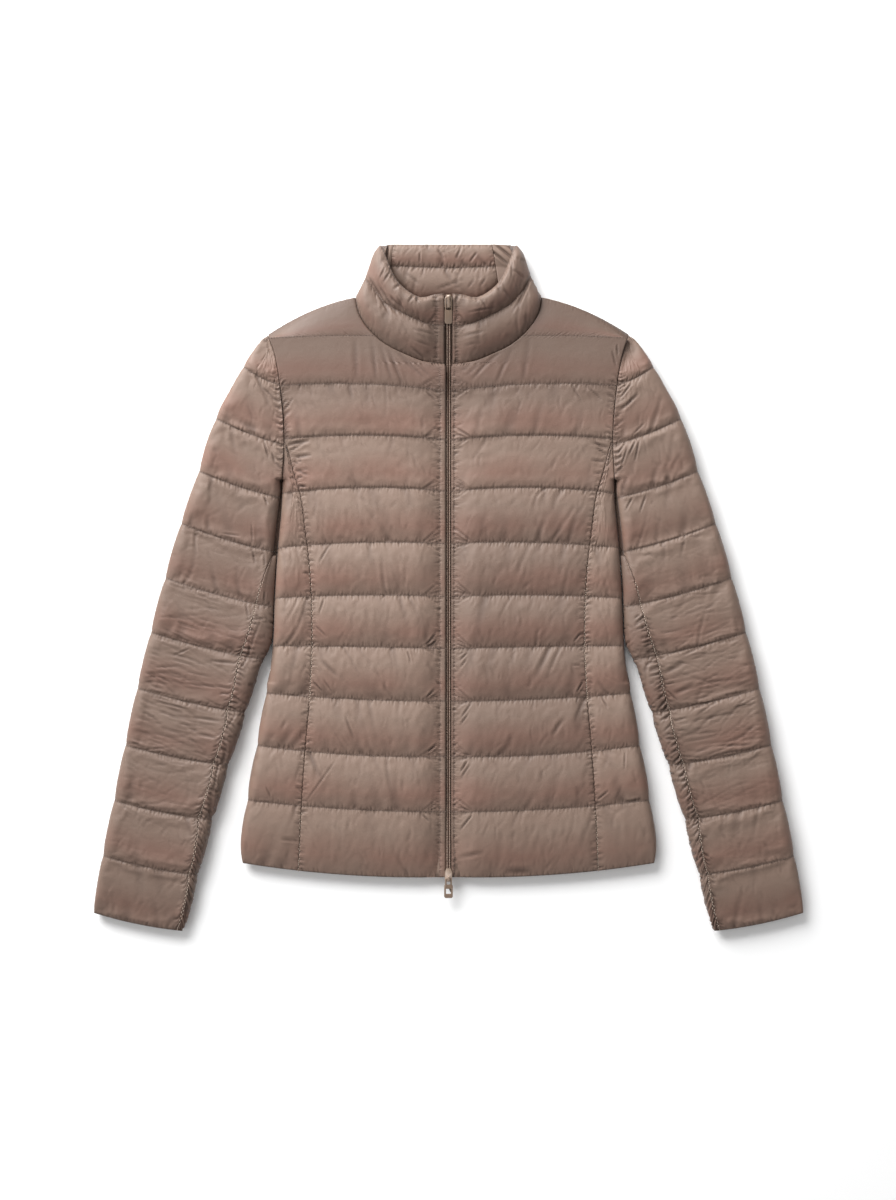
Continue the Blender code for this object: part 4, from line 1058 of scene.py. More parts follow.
    def wrinkle(
        self, patch_mm: float, depth: float, turn: float, scatter: float, weights: Weights = None,
        lengths: Range = (8.0, 22.0), widths: Range = (1.1, 2.2),
    ) -> None:
        """Covers each channel with fine slack wrinkles.

        Args:
            patch_mm: the side of the square that holds one wrinkle.
            depth: their depth.
            turn: their direction, in degrees from the stitch lines.
            scatter: how far it varies, in degrees.
            weights: factors on the depth.
            lengths: their least and greatest length.
            widths: their least and greatest width.
        """
        rng = self.rng
        for weight, u, v, pitch, length, height in self.channels(weights):
            for _ in range(int(pitch * length / patch_mm**2) if weight else 0):
                u0, v0 = rng.uniform(0, length), rng.uniform(0, pitch)
                angle, reach = math.radians(turn + rng.normal(0, scatter)), rng.uniform(*lengths)
                Fold(
                    (u0, v0), (u0 + reach * math.cos(angle), v0 + reach * math.sin(angle)),
                    depth * weight * rng.uniform(0.3, 1.0), rng.uniform(*widths), rng.normal(0, 1.5),
                ).press(u, v, height)

    def press_shown(self, rows: Rows) -> None:
        """Presses folds that are placed on the jacket as seen from above."""
        top = np.s_[:, : self.top]
        self.raised[top] += pressed(rows, self.points[top])


@dataclass
class Inflation:
    """Puffs the quilts up with Blender's Cloth, all in one run.

    Each quilt is simulated on a coarser copy of its grid, pinned at its stitches and edges and cut a little
    larger than the space that it spans. The copy's movement is then carried over to the dense grid.
    """

    pressure: float = 3.4
    fullness: float = 0.05
    frames: int = 20
    bending: float = 0.12
    every_row: int = 3
    step: float = 3.0
    quilts: list[Quilt] = field(default_factory=list)

    def coarse(self, quilt: Quilt) -> tuple[list[int], list[int]]:
        """The rows and columns of a quilt that its copy keeps."""
        rows: list[int] = []
        for low, high in zip(quilt.lines, quilt.lines[1:]):
            rows += list(range(low, high, self.every_row))
            if high - rows[-1] < self.every_row - 1 and len(rows) > 1 and rows[-1] != low:
                rows.pop()
        rows.append(quilt.lines[-1])
        mean = quilt.along.mean(axis=0)
        columns = [0]
        for c in range(1, len(mean)):
            if mean[c] - mean[columns[-1]] >= self.step or c in quilt.stitched_columns:
                columns.append(c)
        if columns[-1] != len(mean) - 1:
            columns[-1] = len(mean) - 1
        return rows, columns

    def copy(self, quilt: Quilt, number: int) -> bpy.types.Object:
        """Makes a quilt's coarse copy with its pins, its cut size and its Cloth."""
        rows, columns = self.coarse(quilt)
        grid = quilt.points[np.ix_(rows, columns)]
        rng = np.random.default_rng(quilt.seed)
        pinned = np.zeros(grid.shape[:2], bool)
        pinned[[rows.index(line) for line in quilt.lines]] = True
        pinned[:, [0, -1]] = True
        for c in quilt.stitched_columns:
            pinned[:, : columns.index(c) + 1] = True
        start = grid.copy()
        start[..., 2] += np.where(pinned, 0.0, rng.normal(0, 0.2, pinned.shape))
        stretch = 1 + self.fullness * rng.uniform(0.6, 1.4, size=len(rows))[:, None]
        cut = np.zeros_like(grid)
        cut[..., 0] = grid[:, :1, 0] + arc_lengths(grid, 1) * stretch
        cut[..., 1] = arc_lengths(grid[..., 1:], 0) * (1 + self.fullness * 0.3)
        index = np.arange(pinned.size).reshape(pinned.shape)
        mesh = bpy.data.meshes.new(f"cloth_{number}")
        mesh.from_pydata((start.reshape(-1, 3) * MM).tolist(), [], grid_faces(index))
        made = link(mesh.name, mesh)
        made.vertex_groups.new(name="pinned").add(index[pinned].tolist(), 1.0, "REPLACE")
        made.shape_key_add(name="Basis")
        key = made.shape_key_add(name="cut")
        key.data.foreach_set("co", (cut.reshape(-1, 3) * MM).astype(np.float32).ravel())
        key.value = 0.0
        cloth = made.modifiers.new("cloth", "CLOTH")
        for name, value in {
            "rest_shape_key": key, "vertex_group_mass": "pinned", "pin_stiffness": 10, "quality": 5,
            "mass": 0.05, "tension_stiffness": 15, "compression_stiffness": 15, "shear_stiffness": 5,
            "bending_stiffness": self.bending, "air_damping": 1, "use_pressure": True,
            "uniform_pressure_force": self.pressure,
        }.items():
            setattr(cloth.settings, name, value)
        cloth.settings.effector_weights.gravity = 0
        cloth.collision_settings.use_collision = False
        cloth.point_cache.frame_start, cloth.point_cache.frame_end = 1, self.frames + 1
        return made

    def carry_over(self, quilt: Quilt, moved: Grid) -> None:
        """Adds a copy's movement to the dense grid, smoothed between its points and held at the stitches."""
        kept = self.coarse(quilt)
        grid = quilt.points[np.ix_(*kept)]
        dense = moved.reshape(grid.shape) - grid
        length = np.linalg.norm(dense, axis=2, keepdims=True)
        dense *= quilt.cap * np.tanh(length / quilt.cap) / (length + 1e-9)
        for axis in (1, 0):
            every = np.arange(quilt.points.shape[axis])
            dense = np.apply_along_axis(lambda line: np.interp(every, kept[axis], line), axis, dense)
        for _ in range(2):
            dense[1:-1] = 0.25 * dense[:-2] + 0.5 * dense[1:-1] + 0.25 * dense[2:]
            dense[:, 1:-1] = 0.25 * dense[:, :-2] + 0.5 * dense[:, 1:-1] + 0.25 * dense[:, 2:]
        quilt.points = quilt.points + dense * (quilt.hold(0.8) * quilt.calm(0.0))[..., None]

    def run(self) -> None:
        """Simulates every quilt and takes the result over into its points."""
        copies = [self.copy(quilt, number) for number, quilt in enumerate(self.quilts)]
        scene = bpy.context.scene
        for number in range(1, self.frames + 1):
            scene.frame_set(number)
        graph = bpy.context.evaluated_depsgraph_get()
        for quilt, made in zip(self.quilts, copies):
            found = np.empty(len(made.data.vertices) * 3, np.float32)
            made.evaluated_get(graph).data.vertices.foreach_get("co", found)
            self.carry_over(quilt, found.astype(float) / MM)
        for made in copies:
            mesh = made.data
            bpy.data.objects.remove(made)
            bpy.data.meshes.remove(mesh)
        scene.frame_set(1)
        LOG.info("cloth: %d quilts puffed up in %d frames", len(self.quilts), self.frames)


# ------------------------------------------------------------------ meshes


def fill_strip(first: Sequence[int], second: Sequence[int], points: Grid) -> list[tuple[int, int, int]]:
    """Triangles between two lines of vertices in the same direction, each line at its own pace."""

    def shares(line: Sequence[int]) -> Grid:
        """The share of its length at each vertex of a line."""
        run = np.concatenate([[0.0], np.cumsum(np.linalg.norm(np.diff(points[list(line)], axis=0), axis=1))])
        return run / run[-1]

    a, b = shares(first), shares(second)
    i = j = 0
    made = []
    while i < len(first) - 1 or j < len(second) - 1:
        if i < len(first) - 1 and (j == len(second) - 1 or a[i + 1] <= b[j + 1]):
            made.append((first[i], first[i + 1], second[j]))
            i += 1
        else:
            made.append((first[i], second[j + 1], second[j]))
            j += 1
    return made


def add_mesh(name: str, points: Grid, faces: list, finish: Finish, smooth: bool = True) -> bpy.types.Object:
    """Links a closed mesh, given in millimetres, into the scene, with its faces pointing out."""
    mesh = bpy.data.meshes.new(name)
    mesh.from_pydata((np.asarray(points, float) * MM).tolist(), [], faces)
    bm = bmesh.new()
    bm.from_mesh(mesh)
    bmesh.ops.recalc_face_normals(bm, faces=bm.faces)
    if bm.calc_volume(signed=True) < 0:
        bmesh.ops.reverse_faces(bm, faces=bm.faces)
    bm.to_mesh(mesh)
    bm.free()
    mesh.materials.append(finish.material())
    mesh.polygons.foreach_set("use_smooth", [smooth] * len(mesh.polygons))
    return link(name, mesh)


def padded_wall(
    name: str, outside: Grid, inside: Grid, looks: dict[str, Grid] | None = None, creases: Grid | float = 0.0
) -> bpy.types.Object:
    """One closed padded piece from its outside and its inside grids.

    Args:
        name: the object's name.
        outside: the quilted grid.
        inside: the plain grid, with its own numbers of rows and columns.
        looks: what the satin reads at each point of the outside, by attribute.
        creases: how dark the painted shade in the inside's creases is.

    Returns:
        The piece.
    """
    points = np.concatenate([outside.reshape(-1, 3), inside.reshape(-1, 3)])
    count = outside[..., 0].size
    outer = np.arange(count).reshape(outside.shape[:2])
    inner = np.arange(count, len(points)).reshape(inside.shape[:2])
    faces = grid_faces(outer) + grid_faces(inner)
    for edge in (np.s_[0], np.s_[-1], np.s_[:, 0], np.s_[:, -1]):
        faces += fill_strip(outer[edge].tolist(), inner[edge].tolist(), points)
    made = add_mesh(name, points, faces, SATIN)
    for key, values in (looks or {}).items():
        vector = values.ndim == 3
        filled = np.zeros((len(points), 3) if vector else len(points), np.float32)
        filled[:count] = values.reshape(count, 3) if vector else values.ravel()
        if key == "crease":
            filled[count:] = np.ravel(creases)
        kind, field_name = ("FLOAT_VECTOR", "vector") if vector else ("FLOAT", "value")
        made.data.attributes.new(key, kind, "POINT").data.foreach_set(field_name, filled.ravel())
    return made


def declare(made: bpy.types.Object, slot: Slot, *nodes: str, body: Body = Body.JACKET) -> bpy.types.Object:
    """Attaches a piece to the body that it rides on, and hides the CAD nodes that it stands for."""
    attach(made, body.value)
    if nodes:
        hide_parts(*nodes)
    LOG.info("%s: %d faces", made.name, len(made.data.polygons))
    return made


# ------------------------------------------------------------------ padded pieces


@dataclass
class PaddedPiece:
    """A padded piece of the jacket, made in three steps: cut row by row, puffed up, and sewn."""

    side: Side
    seed: int
    fill: float = 0.55
    stem: str = "piece"
    paired: bool = True
    puffed: bool = True  # whether the cloth run fills it
    last: float = 11.0  # the place of its last row
    steps: int = 44
    inner_steps: int = 6
    hidden: int = 0  # how many of its columns are turned under
    # shadow and shadows set painted shade on the satin: one amount, or amounts by y for each side
    shadow: float = 0.0
    shadows: dict[Side, Pairs] = field(default_factory=dict)
    stitching: dict = field(default_factory=dict)  # what its quilt is told of its seams and stitches
    quilt: Quilt = field(init=False)

    @property
    def node(self) -> str:
        """The CAD node that the piece stands for."""
        return f"{self.stem}_{self.side.word}" if self.paired else self.stem

    @property
    def facing_mm(self) -> float:
        """How far the facing's stitches lie from its edge at the zip; the under front's facing is wider."""
        return 3.0 if self.side is Side.LEFT else 6.2

    @property
    def zip_edge(self) -> Ending:
        """The ending at the zip, flat as far as the facing's stitches."""
        return replace(ZIP_EDGE, margin=self.facing_mm)

    def near_zip(self) -> Grid:
        """Distances of the columns on the facing, the last of them its stitches."""
        return self.facing_mm * np.array([0, 0.3, 0.55, 0.8, 1.0])

    def outer_row(self, place: float) -> Grid:
        """The points of a row of the quilted outside."""
        raise NotImplementedError

    def inner_row(self, place: float) -> Grid:
        """The points of a row of the plain inside."""
        raise NotImplementedError

    def cut(self) -> Quilt:
        """Cuts the piece's quilted outside."""
        places = rows_between(0.0, self.last, self.steps)
        points = np.array([self.outer_row(place) for place in places])
        top = points.shape[1] - self.hidden
        return Quilt(points, places, top, self.seed, self.side.value, **self.stitching)

    def inside(self) -> Grid:
        """The plain inside's grid."""
        return np.array([self.inner_row(place) for place in rows_between(0.0, self.last, self.inner_steps)])

    def inner_crease_shade(self) -> float | Grid:
        """How dark the painted shade in the inside's creases is."""
        return 0.0

    def sew(self, quilt: Quilt) -> None:
        """Presses the puckers and folds in."""
        raise NotImplementedError

    def share_up(self) -> Grid:
        """How far up its channel each point lies."""
        return (self.quilt.places % 1)[:, None] * np.ones(self.quilt.points.shape[1])

    def turned_away(self) -> float | Grid:
        """How much painted shade darkens the satin where it turns away from the light."""
        if not self.shadows:
            return self.shadow
        return np.interp(self.quilt.points[..., 1], *np.array(self.shadows[self.side]).T)

    def looks(self) -> dict[str, Grid]:
        """What the satin reads at each point of the outside."""
        quilt = self.quilt
        rising = quilt.points[-1, 0, 1] > quilt.points[0, 0, 1]
        # channel: where the pink painted shade tint goes, strongest low in each channel, which turns from the
        # light
        low = 1 - np.abs(2 * self.share_up() - (0.6 if rising else 1.4))
        # Painted shade: darker in pressed folds, at the stitch lines and side edges, and where the piece
        # turns from the light
        creased = np.clip(-quilt.raised / 1.1, 0, 1) + 0.75 * (1 - quilt.line_hold(1.0))
        creased += 0.25 * (1 - quilt.side_hold(0.9)) + self.turned_away()
        return {"channel": low, "crease": np.clip(creased, 0, 1), **quilt.gather_ticks()}

    def finish(self, looks: dict[str, Grid]) -> bpy.types.Object:
        flip = np.array([self.side.value, 1, 1])
        outside, inside = self.quilt.points * flip, self.inside() * flip
        made = padded_wall(self.node + "_quilted", outside, inside, looks, self.inner_crease_shade())
        return declare(made, Slot.SATIN, self.node)

    def make(self) -> bpy.types.Object:
        """Builds the finished piece."""
        self.sew(self.quilt)
        self.quilt.raise_all()
        return self.finish(self.looks())


@dataclass
class FrontCentre(PaddedPiece):
    """A front's middle panel, from the zip and the neckline to the princess seam and the armhole."""

    stem: str = "front_centre"
    steps: int = 36
    columns: int = 150
    # Painted shade by y: the yoke darker than the chest, and the left front, turned away from the light,
    # darker than the right
    shadows: dict[Side, Pairs] = field(default_factory=lambda: {
        Side.LEFT: ((-230, 0.1), (-170, 0.34), (60, 0.4), (120, 0.08), (160, 0.1), (210, 0.6), (300, 1.0)),
        Side.RIGHT: ((160, 0.0), (210, 0.55), (300, 1.0)),
    })
    stitching: dict = field(default_factory=lambda: {
        "stitched_columns": (FACING,), "gathers": (FACING, -1),
        "gathered_to": BODY.neckline_from - 0.06, "calm_from": BODY.zip_straight_to,
    })

    def ends(self, place: float) -> tuple[Grid, Grid]:
        """Both ends of a row."""
        below = place < BODY.side_panel_to
        end = BODY.princess_point(place) if below else BODY.side_point(place)
        if place > BODY.shoulder - 1e-6:
            end = np.array(BODY.shoulder_tip)
        start = BODY.inner_point(place)
        if place < BODY.neckline_from:
            start = start - np.array([LAYERS.slot_in, 0])
        return start, end - np.array([LAYERS.touch if below else LAYERS.armhole_gap, 0])

    def outer_row(self, place: float) -> Grid:
        """A row of the outside, flat beside the zip."""
        start, end = self.ends(place)
        width = end[0] - start[0]
        left = float(np.clip((BODY.neckline_from - place) / 0.9, 0.0, 1.0))  # the share of the zip's flatness
        edge = self.zip_edge
        inner = replace(edge, low=1 - 0.9 * left, pressed=edge.pressed * left, margin=self.facing_mm * left)
        d = spread(width, self.near_zip(), NEAR_SEAM, self.columns)
        xy = BODY.across(place, start, end, d)
        if place < BODY.side_panel_to:
            room = (BODY.side_point(place)[0] - end[0]) / BODY.wave_room
            xy[:, 0] += seam_wave(end[1], self.side, width - d, room)
        neckline = BODY.neckline.at(np.linspace(0.0, 1.0, 300))
        to_neck = np.linalg.norm(xy[:, None] - neckline, axis=2).min(axis=1)
        endings = inner, replace(SEAMED_EDGE, low=0.4), SEAMED_EDGE
        lofts, rise = BODY.lofts(place, xy[:, 0]), BODY.rise(place, xy)
        tall = wall(line_wall(place), lofts, rise, endings, (d, to_neck, width - d))
        if place <= BODY.neckline_from:
            tall[: FACING + 1] = np.maximum(tall[: FACING + 1], LAYERS.rebate + 1.0)
        return np.column_stack([xy, LAYERS.front_inside + tall])

    def share_up(self) -> Grid:
        """How far up its channel each point lies."""
        quilt = self.quilt
        return np.array([BODY.share_up(p, row[:, :2]) for p, row in zip(quilt.places, quilt.points)])

    def inner_row(self, place: float) -> Grid:
        """A row of the plain inside, stepped up over the zip's tape."""
        start, end = self.ends(place)
        step = LAYERS.tape_step
        d = np.array([0.0, step, step + 2.0, end[0] - start[0]])
        lifts = np.array([LAYERS.rebate, LAYERS.rebate, 0.0, 0.0])
        return np.column_stack([BODY.across(place, start, end, d), LAYERS.front_inside + lifts])

    def sew(self, quilt: Quilt) -> None:
        """Ticks on the stitch lines, the facing and the seams, fans at the zip, and folds."""
        side_to, below_neck = np.searchsorted(quilt.places, (BODY.side_panel_to, BODY.neckline_from))
        quilt.pucker_lines(4.6, 0.85, 6.5)
        quilt.pucker_column(FACING, 1, 3.0, 0.9, 4.6, slice(0, below_neck))
        quilt.pucker_column(FACING, 1, 9.0, 0.8, 11.0, slice(0, below_neck), 0.5)
        quilt.pucker_column(-1, -1, 5.0, 1.5, 9.0, slice(0, side_to))
        quilt.pucker_column(-1, -1, 3.6, 1.6, 11.0, slice(side_to, below_neck), 0.8)
        quilt.fans(FACING, [i for i in quilt.lines[1:] if i < below_neck], 19.0, 0.9)
        quilt.drags(2.0, 0.8, 0.4, {0: 0.9, 1: 1.1, 2: 1.1, 7: 0.5, 8: 0.5, 9: 0, 10: 0})
        quilt.drags(3.5, 0.6, 0.2, {0: 0.8, 9: 0, 10: 0}, (3.5, 7.5))
        quilt.wrinkle(14.0, 0.25, 80.0, 24.0, {9: 0, 10: 0})
        quilt.press_shown(SHOWN_FOLDS[self.side])


@dataclass
class FrontSide(PaddedPiece):
    """A front's side panel, from the princess seam round to the side edge, up to a point at the armhole."""

    stem: str = "front_side"
    last: float = BODY.side_panel_to
    steps: int = 36
    columns: int = 44
    stitching: dict = field(default_factory=lambda: {"gathers": (0,)})

    def ends(self, place: float) -> tuple[Grid, Grid, bool]:
        """Both ends of a row, and whether it ends in the armhole."""
        end = BODY.side_point(place)
        in_armhole = end[1] > BODY.armhole_from_y
        end = end - np.array([LAYERS.armhole_gap if in_armhole else 0.0, 0])
        return BODY.princess_point(place) + np.array([LAYERS.touch, 0]), end, in_armhole

    def outer_row(self, place: float) -> Grid:
        """A row of the outside, rounded down at the side edge."""
        start, end, in_armhole = self.ends(place)
        width = end[0] - start[0]
        d = spread(width, NEAR_SEAM, NEAR_FOLD[:-1], self.columns)
        xy = BODY.across(place, start, end, d)
        xy[:, 0] += seam_wave(start[1], self.side, d, width / BODY.wave_room)
        endings = SEAMED_EDGE, SEAMED_EDGE if in_armhole else FOLDED_EDGE
        lofts, rise = BODY.lofts(place, xy[:, 0]), BODY.rise(place, xy)
        tall = wall(line_wall(place), lofts, rise, endings, (d, width - d))
        return np.column_stack([xy, LAYERS.front_inside + tall])

    def inner_row(self, place: float) -> Grid:
        """A row of the plain inside."""
        start, end, _ = self.ends(place)
        width = end[0] - start[0]
        xy = BODY.across(place, start, end, np.array([0.0, width / 2, width]))
        return np.column_stack([xy, np.full(3, LAYERS.front_inside)])

    def sew(self, quilt: Quilt) -> None:
        """Ticks on the stitch lines and the princess seam, and soft folds."""
        quilt.pucker_lines(4.6, 0.9, 6.5)
        quilt.pucker_column(0, 1, 5.0, 1.5, 9.0)
        quilt.drags(3.0, 0.9, -0.4)
        quilt.drags(3.5, 0.6, -0.2, None, (3.5, 7.0))
        quilt.wrinkle(14.0, 0.28, 95.0, 24.0)
        quilt.press_shown(SHOWN_FOLDS[self.side])


@dataclass
class SleeveTop(PaddedPiece):
    """The top sleeve: over the arm from the front seam, round the outer edge to the hidden back seam."""

    stem: str = "sleeve_top"
    hidden: int = 15  # the turn and the flat under it
    shadows: dict[Side, Pairs] = field(default_factory=lambda: {
        Side.LEFT: ((0, 0.22), (100, 0.18)), Side.RIGHT: ((40, 0.48), (130, 0.2)),
    })
    stitching: dict = field(default_factory=lambda: {"gathers": (0,)})
    columns: int = 70
    turn_columns: int = 7

    def measure(self, place: float) -> tuple[Grid, Grid, float, float, bool]:
        """A row's ends, its width, how far in it starts, and whether that is in the armhole."""
        start, end = SLEEVE.ends(place, BODY)
        inset = SLEEVE.inset(start[1])
        begin = inset + (LAYERS.touch if inset else 0.0)
        return start, end, float(np.linalg.norm(end - start)), begin, start[1] > BODY.armhole_from_y

    def outer_row(self, place: float) -> Grid:
        """A row of the outside, over the arm and round under it."""
        start, end, width, begin, in_armhole = self.measure(place)
        d = begin + spread(width - begin, (0, 0.15, 0.5, 1.0, 1.7, 2.5), NEAR_FOLD, self.columns)
        tall = SLEEVE.height(place, d, width, in_armhole)
        if begin:
            tall = SEAMED_EDGE.finish(tall, d - begin)
        upper = np.column_stack([SLEEVE.across(start, end, d / width), tall])
        if begin:
            upper[:, 0] += seam_wave(start[1], self.side, d - begin, begin / SLEEVE.wave_room)
        back = SLEEVE.back_seam + LAYERS.seam_gap / 2 / width
        scale = min(1.0, width / SLEEVE.narrow)
        turn = [(1 - s, z) for s, z in turned_under(width, scale, self.turn_columns)]
        lower = np.array(turn + run_flat(turn[-1][0], back, self.hidden - self.turn_columns))
        under = np.column_stack([SLEEVE.across(start, end, lower[:, 0]), lower[:, 1]])
        return np.concatenate([upper, under])

    def inner_row(self, place: float) -> Grid:
        """A row of the plain inside, folded at the outer edge."""
        start, end, width, begin, _ = self.measure(place)
        fold = 1 - SLEEVE.fold_in * min(1.0, width / SLEEVE.narrow) / width
        back = SLEEVE.back_seam + LAYERS.seam_gap / 2 / width
        z = (LAYERS.front_inside,) * 3 + (LAYERS.back_top,) * 2
        return np.column_stack([SLEEVE.across(start, end, (begin / width, 0.6, fold, fold, back)), z])

    def sew(self, quilt: Quilt) -> None:
        """Ticks on the stitch lines and seams, folds, and the crosswise wrinkles at the elbow."""
        quilt.pucker_lines(4.6, 0.9, 6.5)
        quilt.pucker_column(0, 1, 4.2, 1.8, 9.0, SLEEVE.seam_rows(quilt.places))
        quilt.pucker_column(0, 1, 3.2, 1.8, 13.0, slice(*np.searchsorted(quilt.places, (0.7, 2.7))), -0.8)
        quilt.drags(2.2, 0.8, -0.4, {5: 0.8, 6: 0.4, 7: 0.4})
        quilt.drags(3.5, 0.6, -0.2, {6: 0.5, 7: 0.5}, (3.5, 7.0))
        quilt.wrinkle(14.0, 0.25, 85.0, 30.0, {5: 0.6, 6: 0.4, 7: 0.4})
        elbow = dict.fromkeys(range(11), 0.0) | {4: 0.25, 5: 0.7, 6: 1.1, 7: 1.1, 8: 0.5, 9: 0.25}
        quilt.wrinkle(9.0, 0.55, -4.0, 14.0, elbow, (16.0, 50.0), (0.8, 1.5))
        quilt.raised[:, quilt.top - 9 :] *= 0.3  # the outer edge stays smooth
        quilt.press_shown(SHOWN_FOLDS[self.side])


@dataclass
class SleeveUnder(PaddedPiece):
    """The under sleeve: from the front seam, round the inner edge to the hidden back seam."""

    stem: str = "sleeve_under"
    puffed: bool = False
    hidden: int = 16  # the turn and the flat under it
    shadow: float = 0.52
    stitching: dict = field(default_factory=lambda: {"gathers": (0,)})
    top_columns: int = 20
    turn_columns: int = 6

    def row(self, place: float, dense: bool) -> Grid:
        """A row of the outside, dense, or of the inside."""
        start, end = SLEEVE.ends(place, BODY)
        width = float(np.linalg.norm(end - start))
        in_armhole = start[1] > BODY.armhole_from_y
        scale = min(1.0, width / SLEEVE.narrow)
        inset = SLEEVE.inset(start[1])
        back = SLEEVE.back_seam - LAYERS.seam_gap / 2 / width
        top, low, count = LAYERS.back_top, LAYERS.front_inside, self.top_columns
        begin = inset - LAYERS.touch
        if inset:
            d = begin * np.append(np.linspace(1, 0.04, count - 1) ** 1.15, 0.008)
            tall = SEAMED_EDGE.finish(SLEEVE.height(place, d, width, False), begin - d)
            tall[-1] = low + LAYERS.folded_wall
            outer = list(zip(d / width, tall))
            fold = min(SLEEVE.fold_in, 0.6 * begin) / width
            inner = [(begin / width, low), (fold, low), (fold, top)]
        else:
            outer = [(0.0, top * s) for s in np.linspace(0.94, 0.7, count)]
            inner = [(0.0, top), (2.0 * scale / width, top), (4.0 * scale / width, top)]
        if in_armhole:
            turn = [(0.0, 0.6 * top * (1 - (i + 1) / self.turn_columns)) for i in range(self.turn_columns)]
        elif inset:
            turn = turned_under(width, scale, self.turn_columns)
        else:
            turn = [(s, min(z, 0.66 * top)) for s, z in turned_under(width, scale, self.turn_columns, 0.25)]
        outer += turn + run_flat(turn[-1][0], back, self.hidden - self.turn_columns)
        used = np.array(outer if dense else [*inner, (back, top)])
        row = np.column_stack([SLEEVE.across(start, end, used[:, 0]), used[:, 1]])
        if dense and inset:
            inward = begin - used[:count, 0] * width
            row[:count, 0] += seam_wave(start[1], self.side, inward, begin / SLEEVE.wave_room)
        if dense and not in_armhole:
            row[:, 0] -= self.reach_in(start, np.arange(len(row)) - count)
        return row

    def reach_in(self, start: Grid, turned: Grid) -> Grid:
        """How far a row's points reach in to touch the body, where the sleeve lies close to it."""
        near = float(np.clip((start[1] - SLEEVE.touching_from_y) / SLEEVE.touching_over, 0.0, 1.0))
        fade = 0.5 - 0.5 * math.cos(math.pi * near)
        reach = np.interp(turned, (-0.6 * self.top_columns, -2, 1, 7), (0.0, 1.0, 1.0, 0.0))
        return reach * fade * max(start[0] - float(BODY.side_edge.read(start[1])) - 0.6, 0.0)

    def outer_row(self, place: float) -> Grid:
        """A row of the outside."""
        return self.row(place, True)

    def inner_row(self, place: float) -> Grid:
        """A row of the plain inside."""
        return self.row(place, False)

    def sew(self, quilt: Quilt) -> None:
        """Ticks on the stitch lines and the seam, and soft folds."""
        seam = SLEEVE.seam_rows(quilt.places)
        quilt.pucker_lines(4.0, 1.4, 6.0)
        quilt.pucker_column(0, 1, 5.5, 2.8, 14.0, seam)
        quilt.pucker_column(quilt.top - 1, -1, 13.0, 1.8, 12.0, seam)
        quilt.drags(8.0, 1.3, 0.3, None, (1.0, 2.6))
        quilt.wrinkle(7.0, 0.6, 12.0, 30.0, dict.fromkeys(range(5), 0.0), (6.0, 14.0), (0.8, 1.6))
        quilt.press_shown(SHOWN_FOLDS[self.side])


@dataclass(frozen=True)
class CollarCut:
    """The cut of the collar. A height counts its two channels up from the neckline."""

    middle: Path = Path(((4.3, 273.5), (14, 273.8), (24, 276), (40.5, 283), (64, 296), (87.7, 324)))
    top: Path = Path((
        (4.3, 306), (14, 305.2), (29.5, 302.4), (41, 308.2), (54.6, 321), (64, 340), (70.5, 352),
        (76.2, 358.6),
    ))
    channels: int = 2
    loft: float = 6.5
    fold_in: float = 8.0
    corner: float = 4.5  # how far its top corner is rounded in
    back_top_y: float = 360.5
    back_neck: Rows = ((0.0, 60.0, 97.6), (290.0, 296.0, 304.5))
    back_middle: float = 1.29  # how high the stitch line inside the back collar lies
    inner_seams: dict[Side, Range] = field(
        default_factory=lambda: {Side.LEFT: (56.0, 46.0), Side.RIGHT: (66.0, 58.0)}
    )

    def row(self, height: float, shares: float | Grid) -> Grid:
        """Points of the front collar at a height and shares of the row."""
        shares = np.asarray(shares, float)
        if height < 1:
            low = BODY.neckline.at(shares, LAYERS.touch)
            low = low + np.stack([0 * shares, 2 * LAYERS.touch * shares], axis=-1)
            return low + (self.middle.at(shares) - low) * height
        low = self.middle.at(shares)
        drawn_in = self.corner * (max(height - 1.7, 0.0) / 0.3) ** 2 * shares**6
        rounded = np.stack([-drawn_in, 0.2 * drawn_in], axis=-1)
        return low + (self.top.at(shares) - low) * (height - 1) + rounded

    def lift(self, height: float, shares: float | Grid) -> Grid:
        """How far the front collar's inside stands off the back."""
        rise = self.row(height, shares)[..., 1] - self.row(0.0, shares)[..., 1]
        return LAYERS.collar_slope * rise * np.maximum(np.cos(np.asarray(shares) * math.pi / 2), 0.0) ** 0.7

    def back_y(self, x: float | Grid, height: float) -> Grid:
        """The y of the back collar at some x and height."""
        base = np.interp(np.abs(x), *self.back_neck) + LAYERS.collar_gap
        return base + (self.back_top_y - base) * height / self.channels

    def seam_point(self, height: float, side: Side) -> Grid:
        """The point of the seam inside the back collar."""
        neck, top = self.inner_seams[side]
        x = neck + (top - neck) * height / self.channels
        return np.array([x, float(self.back_y(x, height))])

    def base_wall(self, height: float) -> float:
        """The wall between crowns: thin at the top edge."""
        return float(np.interp(height, (0, self.channels - 0.15, self.channels), (6.5, 6.5, 4.0)))


COLLAR = CollarCut()
